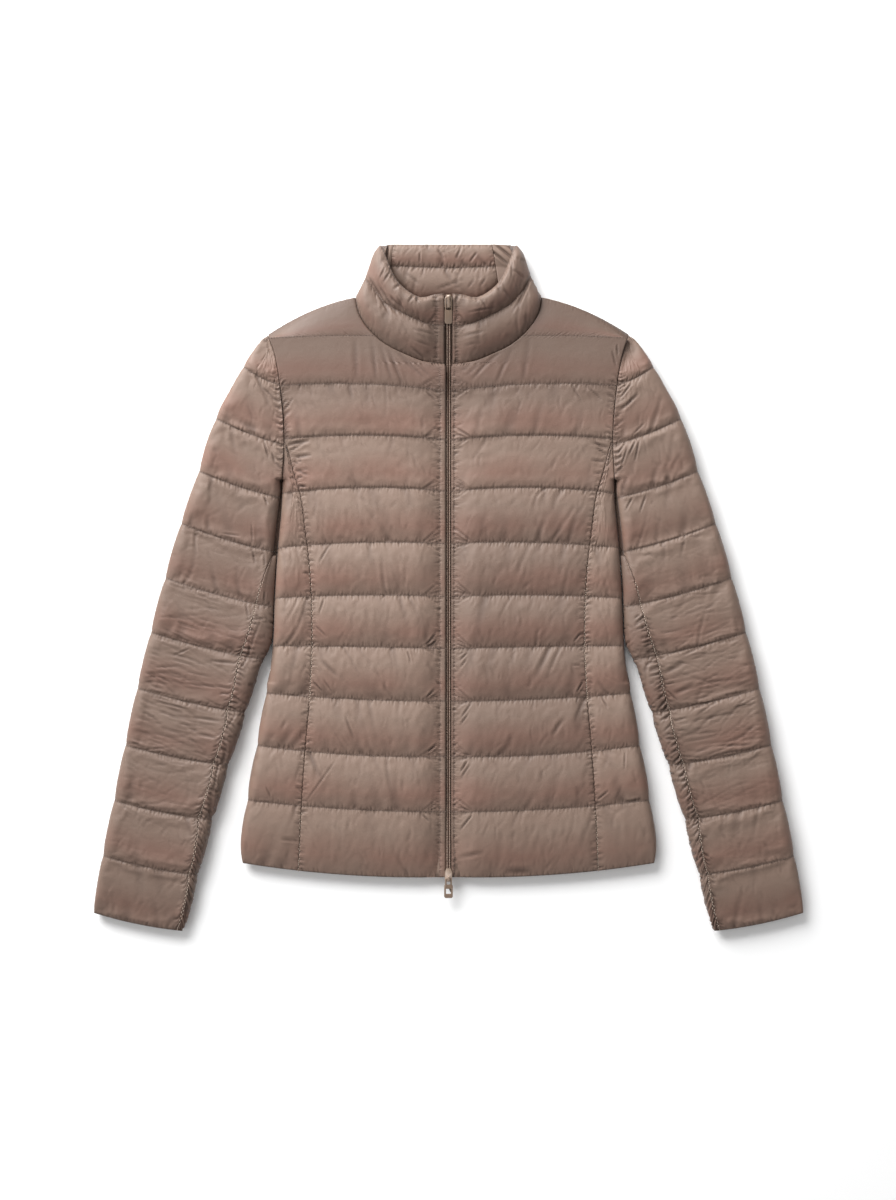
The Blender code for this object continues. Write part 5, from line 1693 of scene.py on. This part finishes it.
# As SHOWN_FOLDS, for the front collar: slanting folds, and the dents in its top edge beside the zip.
COLLAR_FOLDS: dict[Side, Rows] = {
    Side.LEFT: (
        (27, 318, 30, 297, 1.6, 1.3), (29, 303, 38, 298, 1.0, 1.0), (34, 301, 40, 290, 0.9, 1.2),
        (66, 333, 80, 323, 1.0, 1.0), (70, 345, 82, 341, 0.9, 0.9), (88, 331, 72, 292, 1.4, 1.6),
        (84, 318, 66, 286, 0.9, 1.2), (20, 286, 50, 292, 0.8, 1.0), (46, 318, 58, 306, 0.9, 1.6),
        (57, 312, 66, 300, 0.8, 1.4), (14, 262, 40, 268, 0.9, 1.2), (16, 252, 34, 256, 0.7, 1.0),
    ),
    Side.RIGHT: (
        (30, 316, 33, 296, 1.8, 1.3), (36, 305, 42, 296, 1.0, 1.1), (84, 326, 60, 284, 1.2, 1.3),
        (74, 316, 52, 282, 1.0, 1.3), (64, 306, 48, 290, 1.0, 1.2), (54, 302, 44, 284, 0.9, 1.1),
        (60, 330, 68, 318, 1.1, 1.1), (66, 334, 72, 322, 1.0, 0.9), (48, 318, 58, 310, 0.9, 1.3),
        (14, 264, 38, 270, 0.9, 1.2), (18, 252, 36, 258, 0.8, 1.0), (26, 240, 40, 252, 0.9, 1.1),
    ),
}
# The creases in what shows of their inside, beside the seams in the neck.
INNER_FOLDS: dict[Side, Rows] = {
    Side.LEFT: ((44, 355, 63, 339, 2.2, 1.3), (50, 360, 69, 344, 2.2, 1.3), (58, 362, 76, 350, 1.4, 1.5)),
    Side.RIGHT: ((63, 359, 66, 338, 2.0, 1.2), (70, 358, 72, 340, 1.8, 1.4), (66, 334, 76, 344, 1.4, 1.4)),
}


@dataclass
class CollarFront(PaddedPiece):
    """A front collar piece: from the zip up over the neck, round the folded side to a seam inside."""

    stem: str = "collar_front"
    last: float = COLLAR.channels
    steps: int = 26
    inner_steps: int = 28
    hidden: int = 12  # the turn and the flat under it
    shadow: float = 0.52
    stitching: dict = field(default_factory=lambda: {
        "cap": 2.0, "stitched_columns": (FACING,), "gathers": (FACING,),
    })
    columns: int = 88
    turn_columns: int = 6
    shown_inside: int = 24  # how many columns of the inside lie in the neck

    def ends(self, height: float) -> tuple[Grid, Grid, float]:
        """The folded end of a row, the inner seam, and the row's length."""
        fold = COLLAR.row(height, 1.0)
        seam = COLLAR.seam_point(height, self.side) + np.array([LAYERS.seam_gap / 2, 0])
        return fold, seam, float(fold[0] - LAYERS.zip_opening)

    def outer_row(self, place: float) -> Grid:
        """A row of the outside, round the side and under it."""
        fold, seam, length = self.ends(place)
        d = spread(length, self.near_zip(), (0, 0.15, 0.6, 1.3, 2.2, 3.4, 4.8, 6.4), self.columns)
        endings = replace(self.zip_edge, reach=18.0, pressed=2.0), FOLDED_EDGE
        tall = wall(COLLAR.base_wall(place), COLLAR.loft, float(crown(place % 1)), endings, (d, length - d))
        tall = np.maximum(tall, np.where(d < LAYERS.tape_reach, LAYERS.collar_rebate + 1.2, 0.0))
        z = LAYERS.front_inside + COLLAR.lift(place, d / length) + tall
        upper = np.column_stack([COLLAR.row(place, d / length), z])
        back = seam - fold
        turn = turned_under(float(np.linalg.norm(back)), 1.0, self.turn_columns)
        lower = np.array(turn + run_flat(turn[-1][0], 1.0, self.hidden - self.turn_columns))
        lift = 0.5 * LAYERS.back_top * float(np.clip((place - 1.85) / 0.15, 0, 1)) ** 2
        under = np.column_stack([fold + back * lower[:, :1], np.maximum(lower[:, 1], lift)])
        return np.concatenate([upper, under])

    def inner_row(self, place: float) -> Grid:
        """A row of the inside, stepped up over the zip's tape and folded at the side."""
        fold, seam, length = self.ends(place)
        step = LAYERS.tape_step / length
        fold_in = LAYERS.seam_gap + (COLLAR.fold_in - LAYERS.seam_gap) * min(place, 1.0)
        shares = np.concatenate([[0.0, step, step + 2 / length], np.linspace(0.18, 1 - fold_in / length, 14)])
        lifts = np.where(shares <= step, LAYERS.collar_rebate, 0.0)
        z = LAYERS.front_inside + COLLAR.lift(place, shares) + lifts
        front = np.column_stack([COLLAR.row(place, shares), z])
        in_neck = np.linspace(fold_in / np.linalg.norm(seam - fold), 1.0, self.shown_inside)
        height = np.interp(place, (0, COLLAR.back_middle, COLLAR.channels), (0, 1, 2))
        puffed = np.full(self.shown_inside, LAYERS.back_top + 1.6 * float(crown(height % 1)))
        return np.concatenate([front, np.column_stack([(seam - fold) * in_neck[:, None] + fold, puffed])])

    def inside(self) -> Grid:
        """The inside's grid; a part of it shows in the neck, and has folds."""
        points = super().inside()
        points[..., 2] += self.inner_folds(points)
        return points

    def inner_folds(self, points: Grid) -> Grid:
        """What is pressed into the part of the inside that shows in the neck."""
        height = np.zeros(points.shape[:2])
        shown = np.s_[:, -self.shown_inside :]
        height[shown] = pressed(INNER_FOLDS[self.side], points[shown])
        return height

    def inner_crease_shade(self) -> Grid:
        """Painted shade: the folds in the neck are dark, and so is the cloth around them."""
        return np.clip(0.4 - 0.8 * self.inner_folds(self.inside()), 0.0, 1.0)

    def sew(self, quilt: Quilt) -> None:
        """Ticks on the stitch lines and the facing, fans at the zip, and folds."""
        quilt.pucker_lines(4.2, 0.9, 6.0)
        quilt.pucker_column(FACING, 1, 2.8, 1.0, 5.0)
        quilt.fans(FACING, quilt.lines[1:2], 11.0, 1.0)
        quilt.drags(3.0, 0.7, 0.4)
        quilt.drags(3.0, 0.6, -0.3, None, (2.5, 5.0))
        quilt.wrinkle(12.0, 0.25, 80.0, 28.0)
        quilt.press_shown(COLLAR_FOLDS[self.side])


@dataclass
class CollarBack(PaddedPiece):
    """The back collar: lies with its quilted inside up, between the two seams inside the collar."""

    stem: str = "collar_back"
    paired: bool = False
    puffed: bool = False
    last: float = COLLAR.channels
    steps: int = 24
    inner_steps: int = 5
    shadow: float = 0.25
    stitching: dict = field(default_factory=lambda: {"gathers": (0, -1)})
    columns: int = 120
    loft: float = 2.8
    folds: Rows = (
        (-14, 313, 17, 324, 1.0, 1.3), (-30, 352, -30, 341, 0.9, 1.0), (4, 331, 11, 327, 0.9, 0.9),
        (20, 315, 28, 324, 0.9, 1.0), (33, 317, 40, 325, 1.0, 1.0), (-44, 330, -30, 318, 1.0, 1.4),
        (-12, 356, -4, 344, 0.8, 1.2), (14, 358, 8, 345, 0.8, 1.2), (30, 352, 22, 341, 0.9, 1.1),
    )

    def course(self, place: float, columns: int) -> tuple[float, Grid, Grid, Grid]:
        """A row's height, its x and y, and the distances from its nearer end."""
        height = float(np.interp(place, (0, 1, 2), (0, COLLAR.back_middle, COLLAR.channels)))
        left, right = (COLLAR.seam_point(height, side)[0] - LAYERS.touch for side in Side)
        x = np.linspace(-right, left, columns)
        return height, x, COLLAR.back_y(x, height), np.minimum(x + right, left - x)

    def outer_row(self, place: float) -> Grid:
        """A row of the quilted side, which faces up."""
        height, x, y, inset = self.course(place, self.columns)
        front_y = np.interp(np.abs(x), *np.array(COLLAR.top.points).T)
        free = np.clip((y - front_y + 4) / 8, 0.1, 1.0) * SEAMED_EDGE.rise(inset * 2)
        edge = 1.2 * float(np.clip((height - 1.8) / 0.2, 0, 1)) ** 3
        sunk = 3.5 * np.clip(1 - (y - np.maximum(front_y, y[len(y) // 2] - 60)) / 22.0, 0, 1) ** 2
        z = LAYERS.back_top + self.loft * float(crown(place % 1)) * free - edge - sunk
        return np.column_stack([x, y, z])

    def inner_row(self, place: float) -> Grid:
        """A row of the plain side, which lies on the surface."""
        height, x, y, _ = self.course(place, 24)
        lift = 0.5 * LAYERS.back_top * float(np.clip((height - 1.7) / 0.3, 0, 1)) ** 2
        return np.column_stack([x, y, np.full(len(x), lift)])

    def sew(self, quilt: Quilt) -> None:
        """Ticks on the stitch line and the seams, and soft folds."""
        quilt.pucker_lines(4.0, 1.2, 7.0)
        for column, way in ((0, 1), (-1, -1)):
            quilt.pucker_column(column, way, 4.0, 0.9, 6.0)
        quilt.drags(6.0, 0.9, -0.5)
        quilt.wrinkle(11.0, 0.3, 75.0, 30.0)
        quilt.press_shown(self.folds)


@dataclass
class BackPanel(PaddedPiece):
    """The back: one padded wall that lies flat on its crowns, its quilting showing only from below."""

    stem: str = "back_panel"
    paired: bool = False
    puffed: bool = False
    steps: int = 12
    inner_steps: int = 4
    half_columns: int = 46
    groove: float = 2.4  # how far its stitches are drawn in off the surface

    def half_row(self, place: float, shares: Grid) -> Grid:
        """Points of a row at shares from the middle to the left edge."""
        last = BODY.shoulder - 1
        end = BODY.side_point(min(place, last))
        if end[1] > BODY.armhole_from_y:
            end = end - np.array([LAYERS.curved_gap / 2, 0])
        x = end[0] * shares
        low = np.stack([x, BODY.row_y(min(place, last), x)], axis=-1)
        if place <= last:
            return low
        tip = np.array(BODY.shoulder_tip) - np.array([LAYERS.curved_gap / 2, 0])
        top_x = tip[0] * shares
        neck_x, neck_y = COLLAR.back_neck
        high = np.stack([top_x, np.interp(top_x, (*neck_x, tip[0]), (*neck_y, tip[1]))], axis=-1)
        return low + (high - low) * (place - last)

    def whole_row(self, half: Grid, z: Grid) -> Grid:
        """A row over the whole width from its left half."""
        row = np.column_stack([half, z])
        return np.concatenate([row[:0:-1] * np.array([-1, 1, 1]), row])

    def outer_row(self, place: float) -> Grid:
        """A row of the quilted underside."""
        half = self.half_row(place, np.linspace(0, 1, self.half_columns) ** 0.9)
        drawn = np.clip(1 - (half[-1, 0] - half[:, 0]) / LAYERS.edge_round, 0, 1)
        rounded = 0.8 * LAYERS.back_top
        end = min(place, BODY.shoulder - place)
        at_end = rounded * float(np.clip(1 - end / 0.1, 0, 1)) ** 2
        z = np.maximum(rounded * (1 - np.sqrt(1 - drawn**2)), at_end)
        if 0 < place < BODY.shoulder:
            z = z + self.groove * (1 - float(crown(place % 1, 3.5)))
        return self.whole_row(half, np.minimum(z, LAYERS.back_top - 1.2))

    def inner_row(self, place: float) -> Grid:
        """A row of the upper side, which the fronts lie on."""
        half = self.half_row(place, np.linspace(0, 1, 12))
        return self.whole_row(half, np.full(len(half), LAYERS.back_top))

    def make(self) -> bpy.types.Object:
        """Builds the panel, its puckers only ever drawn in off the surface."""
        quilt = self.quilt
        quilt.rng = np.random.default_rng(self.seed)
        quilt.pucker_lines(9.0, 0.8, 7.0)
        quilt.points[..., 2] += np.maximum(-quilt.raised * quilt.hold(), 0.0)
        return self.finish({})


# ------------------------------------------------------------------ sewing and zip


class Tree:
    """A Geometry Nodes tree built in the script; its inputs are numbers, but for a seed and a material."""

    kinds = {"Geometry": "NodeSocketGeometry", "Seed": "NodeSocketInt", "Material": "NodeSocketMaterial"}

    def __init__(self, name: str, *inputs: str) -> None:
        """Starts a tree with some inputs."""
        self.group = bpy.data.node_groups.new(name, "GeometryNodeTree")
        new_socket = self.group.interface.new_socket
        self.sockets = {
            n: new_socket(n, in_out="INPUT", socket_type=self.kinds.get(n, "NodeSocketFloat"))
            for n in ("Geometry", *inputs)
        }
        new_socket("Geometry", in_out="OUTPUT", socket_type=self.kinds["Geometry"])
        self.start = self.group.nodes.new("NodeGroupInput").outputs
        self.add = partial(add_node, self.group)

    def points(self) -> bpy.types.NodeSocket:
        """Points at each step of the lines."""
        start, add = self.start, self.add
        curve = add("GeometryNodeMeshToCurve", {"Mesh": start["Geometry"]})
        return add("GeometryNodeCurveToPoints", {"Curve": curve, "Length": start["Pitch"]}, mode="LENGTH")

    def end(self, geometry: bpy.types.NodeSocket) -> None:
        """Realizes the instances, sets the material and closes the tree."""
        real = self.add("GeometryNodeRealizeInstances", {"Geometry": geometry})
        smooth = self.add("GeometryNodeSetShadeSmooth", {"Geometry": real})
        dressed = {"Geometry": smooth, "Material": self.start["Material"]}
        made = self.add("GeometryNodeSetMaterial", dressed)
        plug(self.group, self.group.nodes.new("NodeGroupOutput"), {"Geometry": made})

    def apply(
        self, name: str, lines: Sequence[Grid], finish: Finish, seed: int = 0, **sizes: float
    ) -> bpy.types.Object:
        """Runs the tree over lines of points.

        Args:
            name: the made object's name.
            lines: each line's points, in millimetres.
            finish: the material.
            seed: the seed of what is uneven.
            sizes: each number, in millimetres.

        Returns:
            A plain mesh object with the result.
        """
        edges, start = [], 0
        for line in lines:
            edges += [(i, i + 1) for i in range(start, start + len(line) - 1)]
            start += len(line)
        mesh = bpy.data.meshes.new(name + "_path")
        mesh.from_pydata((np.concatenate(lines) * MM).tolist(), edges, [])
        carrier = link(name + "_path", mesh)
        modifier = carrier.modifiers.new("repeat", "NODES")
        modifier.node_group = self.group
        values = {key: size * MM for key, size in sizes.items()}
        for key, value in (values | {"Seed": seed, "Material": finish.material()}).items():
            if key in self.sockets:
                modifier[self.sockets[key].identifier] = value
        return applied(carrier, name)


class StitchTree(Tree):
    """Stitches along lines: a grain of thread at each step, slightly uneven."""

    def __init__(self) -> None:
        """Builds the tree."""
        super().__init__("stitches", "Pitch", "Length", "Width", "Thickness", "Seed", "Material")
        start, add, points = self.start, self.add, self.points()
        turn = add("FunctionNodeAlignRotationToVector", {"Vector": points.node.outputs["Tangent"]}, axis="X")
        sides = {"X": start["Length"], "Y": start["Width"], "Z": start["Thickness"]}
        size = add("ShaderNodeCombineXYZ", sides)
        limits = {"Min": (0.85, 0.85, 0.85), "Max": (1.1, 1.1, 1.1), "Seed": start["Seed"]}
        uneven = add("FunctionNodeRandomValue", limits, data_type="FLOAT_VECTOR")
        scale = add("ShaderNodeVectorMath", {0: size, 1: uneven}, operation="MULTIPLY")
        grain = add("GeometryNodeMeshUVSphere", {"Segments": 5, "Rings": 3, "Radius": 0.5})
        placed = {"Points": points, "Instance": grain, "Rotation": turn, "Scale": scale}
        self.end(add("GeometryNodeInstanceOnPoints", placed))


class CoilTree(Tree):
    """The two halves of a zip's coil: a bent tooth at each step on both sides, half a step apart."""

    def __init__(self) -> None:
        """Builds the tree."""
        super().__init__("coil", "Pitch", "Reach", "Height", "Wire", "Material")
        start, add = self.start, self.add
        middle = {
            "X": add("ShaderNodeMath", {0: start["Reach"], 1: 0.5}, operation="MULTIPLY"),
            "Z": add("ShaderNodeMath", {0: start["Height"], 1: 2.0}, operation="MULTIPLY"),
        }
        tooth = add("GeometryNodeCurveQuadraticBezier", {
            "Resolution": 5, "Start": (-0.0003, 0, 0), "Middle": add("ShaderNodeCombineXYZ", middle),
            "End": add("ShaderNodeCombineXYZ", {"X": start["Reach"]}),
        })
        ring = add("GeometryNodeCurvePrimitiveCircle", {"Resolution": 6, "Radius": start["Wire"]})
        bent = add("GeometryNodeCurveToMesh", {"Curve": tooth, "Profile Curve": ring, "Fill Caps": True})
        joined = add("GeometryNodeJoinGeometry")
        for turn, steps in ((0.0, 0.0), (math.pi, 0.5)):
            points = self.points()
            tangent = {"Vector": points.node.outputs["Tangent"]}
            along = add("FunctionNodeAlignRotationToVector", tangent, axis="Y", pivot_axis="X")
            shift = add("ShaderNodeMath", {0: start["Pitch"], 1: steps}, operation="MULTIPLY")
            offset = add("ShaderNodeCombineXYZ", {"Y": shift})
            moved = add("GeometryNodeSetPosition", {"Geometry": points, "Offset": offset})
            turned = add("GeometryNodeTransform", {"Geometry": bent, "Rotation": (0, 0, turn)})
            placed = {"Points": moved, "Instance": turned, "Rotation": along}
            plug(self.group, joined.node, {"Geometry": add("GeometryNodeInstanceOnPoints", placed)})
        self.end(joined)


@dataclass(frozen=True)
class Stitch:
    """A kind of stitch: its thread, its step, and the grain of thread that shows, in millimetres."""

    finish: Finish
    pitch: float
    length: float
    width: float
    thick: float

    def sew(
        self, tree: StitchTree, name: str, lines: Sequence[Grid], seed: int, slot: Slot = Slot.SATIN
    ) -> None:
        sizes = {"Pitch": self.pitch, "Length": self.length, "Width": self.width, "Thickness": self.thick}
        declare(tree.apply(name, lines, self.finish, seed, **sizes), slot)


LOCKSTITCH = Stitch(THREAD, 3.0, 2.6, 0.55, 0.6)
GATHER = Stitch(THREAD, 2.2, 0.75, 2.4, 0.5)  # the facing's stitches pull the satin into short cross pleats
SEAM_STITCH = Stitch(TOPSTITCH, 2.7, 2.8, 1.05, 1.3)
ZIP_STITCH = Stitch(RIDGE, 1.7, 2.3, 1.2, 1.2)


@dataclass
class Sewing:
    """The machine stitches: the quilting's rows, the zip facings and the gathered seams."""

    pieces: list[PaddedPiece]
    proud: float = 0.1
    zigzag_proud: float = 0.45
    stride: float = 2.2
    swing: float = 0.8
    princess_zigzags: Pairs = ((-296.0, -234.0), (-118.0, 29.0))  # by y
    princess_threads: Pairs = ((-234.0, -118.0), (29.0, 200.0))  # where it shows a line of thread instead
    sleeve_zigzag: Range = (-358.0, 6.0)

    def zigzag(self, seam: Grid, low: float, high: float) -> Grid:
        """The corners of a zigzag over a seam, between two heights."""
        order = np.argsort(seam[:, 1])
        y = np.concatenate([[low - self.stride / 2], np.arange(low, high, self.stride)])
        x, z = (np.interp(y, seam[order, 1], seam[order, axis]) for axis in (0, 2))
        swing = self.swing * (-1.0) ** np.arange(len(y))
        swing[0] = 0.0
        return np.column_stack([x + swing, y, z + self.zigzag_proud])

    def make(self, tree: StitchTree) -> None:
        """Sews along the quilts' own rows and columns."""
        rows: dict[str, list[Grid]] = {}
        facings: list[Grid] = []
        seams: list[Grid] = []
        for piece in self.pieces:
            quilt = piece.quilt
            cloth = (quilt.points + quilt.normals() * self.proud) * np.array([quilt.sign, 1, 1])
            rows.setdefault(piece.stem.split("_")[0], []).extend(cloth[i] for i in quilt.lines[1:-1])
            if quilt.stitched_columns:
                facings.append(cloth[1 : int(np.searchsorted(quilt.places, BODY.neckline_from)) - 1, FACING])
            if isinstance(piece, FrontCentre):
                seam = cloth[1 : int(np.searchsorted(quilt.places, BODY.side_panel_to)), -1]
                seams += [self.zigzag(seam, low, high) for low, high in self.princess_zigzags]
                body, y = rows.setdefault("body", []), seam[:, 1]
                body += [seam[(y > low) & (y < high)] for low, high in self.princess_threads]
            if isinstance(piece, SleeveTop):
                seams.append(self.zigzag(cloth[1:-1, 0], *self.sleeve_zigzag))
        for seed, (group, lines) in enumerate(rows.items()):
            LOCKSTITCH.sew(tree, f"stitches_{group}", lines, seed)
        GATHER.sew(tree, "stitches_facing", facings, 5)
        SEAM_STITCH.sew(tree, "stitches_seams", seams, 3)


@dataclass
class Zip:
    """The zip: two woven tapes, the closed coil, its sewing threads, two sliders and their pulls."""

    tape_thick: float = 0.8
    tape_butt: float = 0.15
    tape_round: tuple[float, float] = (0.25, 0.2)  # how its edges are rounded, in its width and its thickness
    coil_bottom: float = 10.1
    coil_thick: float = 2.4
    coil_half: float = 2.75
    pitch: float = 1.25
    wire: float = 0.42
    thread_x: float = 1.35
    bevel: float = 0.28

    def course(self, x: float, z: float, step: float = 4.0) -> Grid:
        """Points along the zip at some x and height over the fronts' inside."""
        y = np.arange(LAYERS.zip_bottom_y, LAYERS.zip_top_y + 0.1, step)
        lift = LAYERS.collar_slope * np.maximum(y - LAYERS.neck_centre_y, 0.0)
        return np.column_stack([np.full(len(y), x), y, z + lift])

    def tape(self, side: Side) -> bpy.types.Object:
        """One tape, with softly rounded edges."""
        near, far = self.tape_butt, LAYERS.tape_reach
        low, top = LAYERS.front_inside, LAYERS.front_inside + self.tape_thick
        dx, dz = self.tape_round
        section = (
            (near, low + dz), (near, top - dz), (near + dx, top), (far - dx, top),
            (far, top - dz), (far, low + dz), (far - dx, low), (near + dx, low),
        )
        rings = np.stack([self.course(side.value * x, z, 8.0) for x, z in section], axis=1)
        index = np.arange(rings[..., 0].size).reshape(rings.shape[:2])
        faces = grid_faces(np.hstack([index, index[:, :1]])) + [index[0].tolist(), index[-1][::-1].tolist()]
        made = add_mesh(f"zip_tape_{side.word}_woven", rings.reshape(-1, 3), faces, TAPE, smooth=False)
        length = float(np.linalg.norm(np.diff(self.course(0, 0), axis=0), axis=1).sum())
        return declare(made, Slot.TAPE, f"zip_tape_{side.word}")

    def chain(self, stitches: StitchTree) -> None:
        """The closed coil and the threads that sew it to its tapes."""
        z = self.coil_bottom + self.wire
        sizes = {
            "Pitch": self.pitch, "Reach": self.coil_half - self.wire / 2,
            "Height": self.coil_thick - 2.2 * self.wire, "Wire": self.wire,
        }
        declare(CoilTree().apply("zip_coil", [self.course(0.0, z)], COIL, **sizes), Slot.COIL, "zip_chain")
        lines = [self.course(s * self.thread_x, z + self.coil_thick - 2.0 * self.wire) for s in (-1, 1)]
        ZIP_STITCH.sew(stitches, "zip_threads", lines, 7, Slot.TAPE)

    def bevelled(self, node: str, body: Body) -> bpy.types.Object:
        """A slider or a pull from its solid, with its edges rounded as casting and enamel leave them."""
        bm = bmesh.new()
        bm.from_mesh(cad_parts[node].data)
        bmesh.ops.remove_doubles(bm, verts=bm.verts, dist=1e-6)
        bmesh.ops.dissolve_limit(bm, angle_limit=math.radians(2), verts=bm.verts, edges=bm.edges)
        mesh = bpy.data.meshes.new(node + "_rough")
        bm.to_mesh(mesh)
        bm.free()
        mesh.materials.append(ENAMEL.material())
        rough = link(node + "_rough", mesh)
        bevel = rough.modifiers.new("bevel", "BEVEL")
        bevel.width, bevel.segments = self.bevel * MM, 3
        bevel.limit_method, bevel.angle_limit = "ANGLE", math.radians(35)
        made = applied(rough, node + "_cast")
        made.data.polygons.foreach_set("use_smooth", [True] * len(made.data.polygons))
        return declare(made, Slot.METAL, node, body=body)

    def make(self, stitches: StitchTree) -> None:
        """Builds the whole zip."""
        for side in Side:
            self.tape(side)
        self.chain(stitches)
        for node, body in (
            ("slider_top", Body.JACKET), ("slider_bottom", Body.JACKET),
            ("pull_top", Body.PULL_TOP), ("pull_bottom", Body.PULL_BOTTOM),
        ):
            self.bevelled(node, body)


# ------------------------------------------------------------------ studio


@dataclass
class Studio:
    """A white floor, soft light from the upper left and a camera straight above."""

    frame_height: float = 1260.0
    centre: tuple[float, float] = (-0.5, -13.1)
    distance: float = 2600.0
    sensor: float = 36.0
    floor: float = 6.0
    floor_z: float = -0.0002
    ambient: float = 0.42

    def camera(self) -> None:
        """The camera, which sees the whole jacket with a margin."""
        data = bpy.data.cameras.new("camera")
        data.sensor_width = self.sensor
        data.lens = self.sensor * self.distance / self.frame_height
        data.clip_end = 50.0
        made = link("camera", data)
        made.location = (self.centre[0] * MM, self.centre[1] * MM, (self.distance + 10.0) * MM)
        bpy.context.scene.camera = made

    def lamp(self, name: str, place: tuple[float, float, float], power: float) -> None:
        """A square soft light aimed at the jacket's middle."""
        data = bpy.data.lights.new(name, "AREA")
        data.size, data.energy = 2.2, power
        made = link(name, data)
        made.location = place
        made.rotation_euler = (-Vector(place)).to_track_quat("-Z", "Y").to_euler()

    def make(self) -> None:
        """Builds the floor, the lights and the camera."""
        half = self.floor / 2
        corners = [(x * half, y * half, self.floor_z) for x, y in ((-1, -1), (1, -1), (1, 1), (-1, 1))]
        mesh = bpy.data.meshes.new("floor")
        mesh.from_pydata(corners, [], [(0, 1, 2, 3)])
        mesh.materials.append(PAPER.material())
        link("floor", mesh)
        self.lamp("key", (-1.25, 1.95, 1.2), 186.0)
        self.lamp("fill", (-1.8, -0.8, 2.4), 12.0)
        world = bpy.data.worlds.new("studio")
        world.use_nodes = True
        sky = {"Color": linear("#FFFFFF"), "Strength": self.ambient}
        plug(world.node_tree, world.node_tree.nodes["Background"], sky)
        bpy.context.scene.world = world
        bpy.context.scene.view_settings.view_transform = "Standard"
        self.camera()


def main() -> None:
    """Builds and dresses the jacket."""
    logging.basicConfig(level=logging.INFO, format="%(message)s")
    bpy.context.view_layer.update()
    Studio().make()
    pieces: list[PaddedPiece] = [BackPanel(Side.LEFT, 1, 0.4), CollarBack(Side.LEFT, 2, 0.4)]
    kinds = FrontCentre, FrontSide, SleeveTop, SleeveUnder, CollarFront
    for first_seed, side in ((11, Side.LEFT), (31, Side.RIGHT)):
        pieces += [kind(side, seed) for seed, kind in enumerate(kinds, first_seed)]
    for piece in pieces:
        piece.quilt = piece.cut()
    Inflation(quilts=[piece.quilt for piece in pieces if piece.puffed]).run()
    for piece in pieces:
        piece.make()
    stitches = StitchTree()
    Sewing(pieces).make(stitches)
    Zip().make(stitches)


if __name__ == "__main__":
    main()
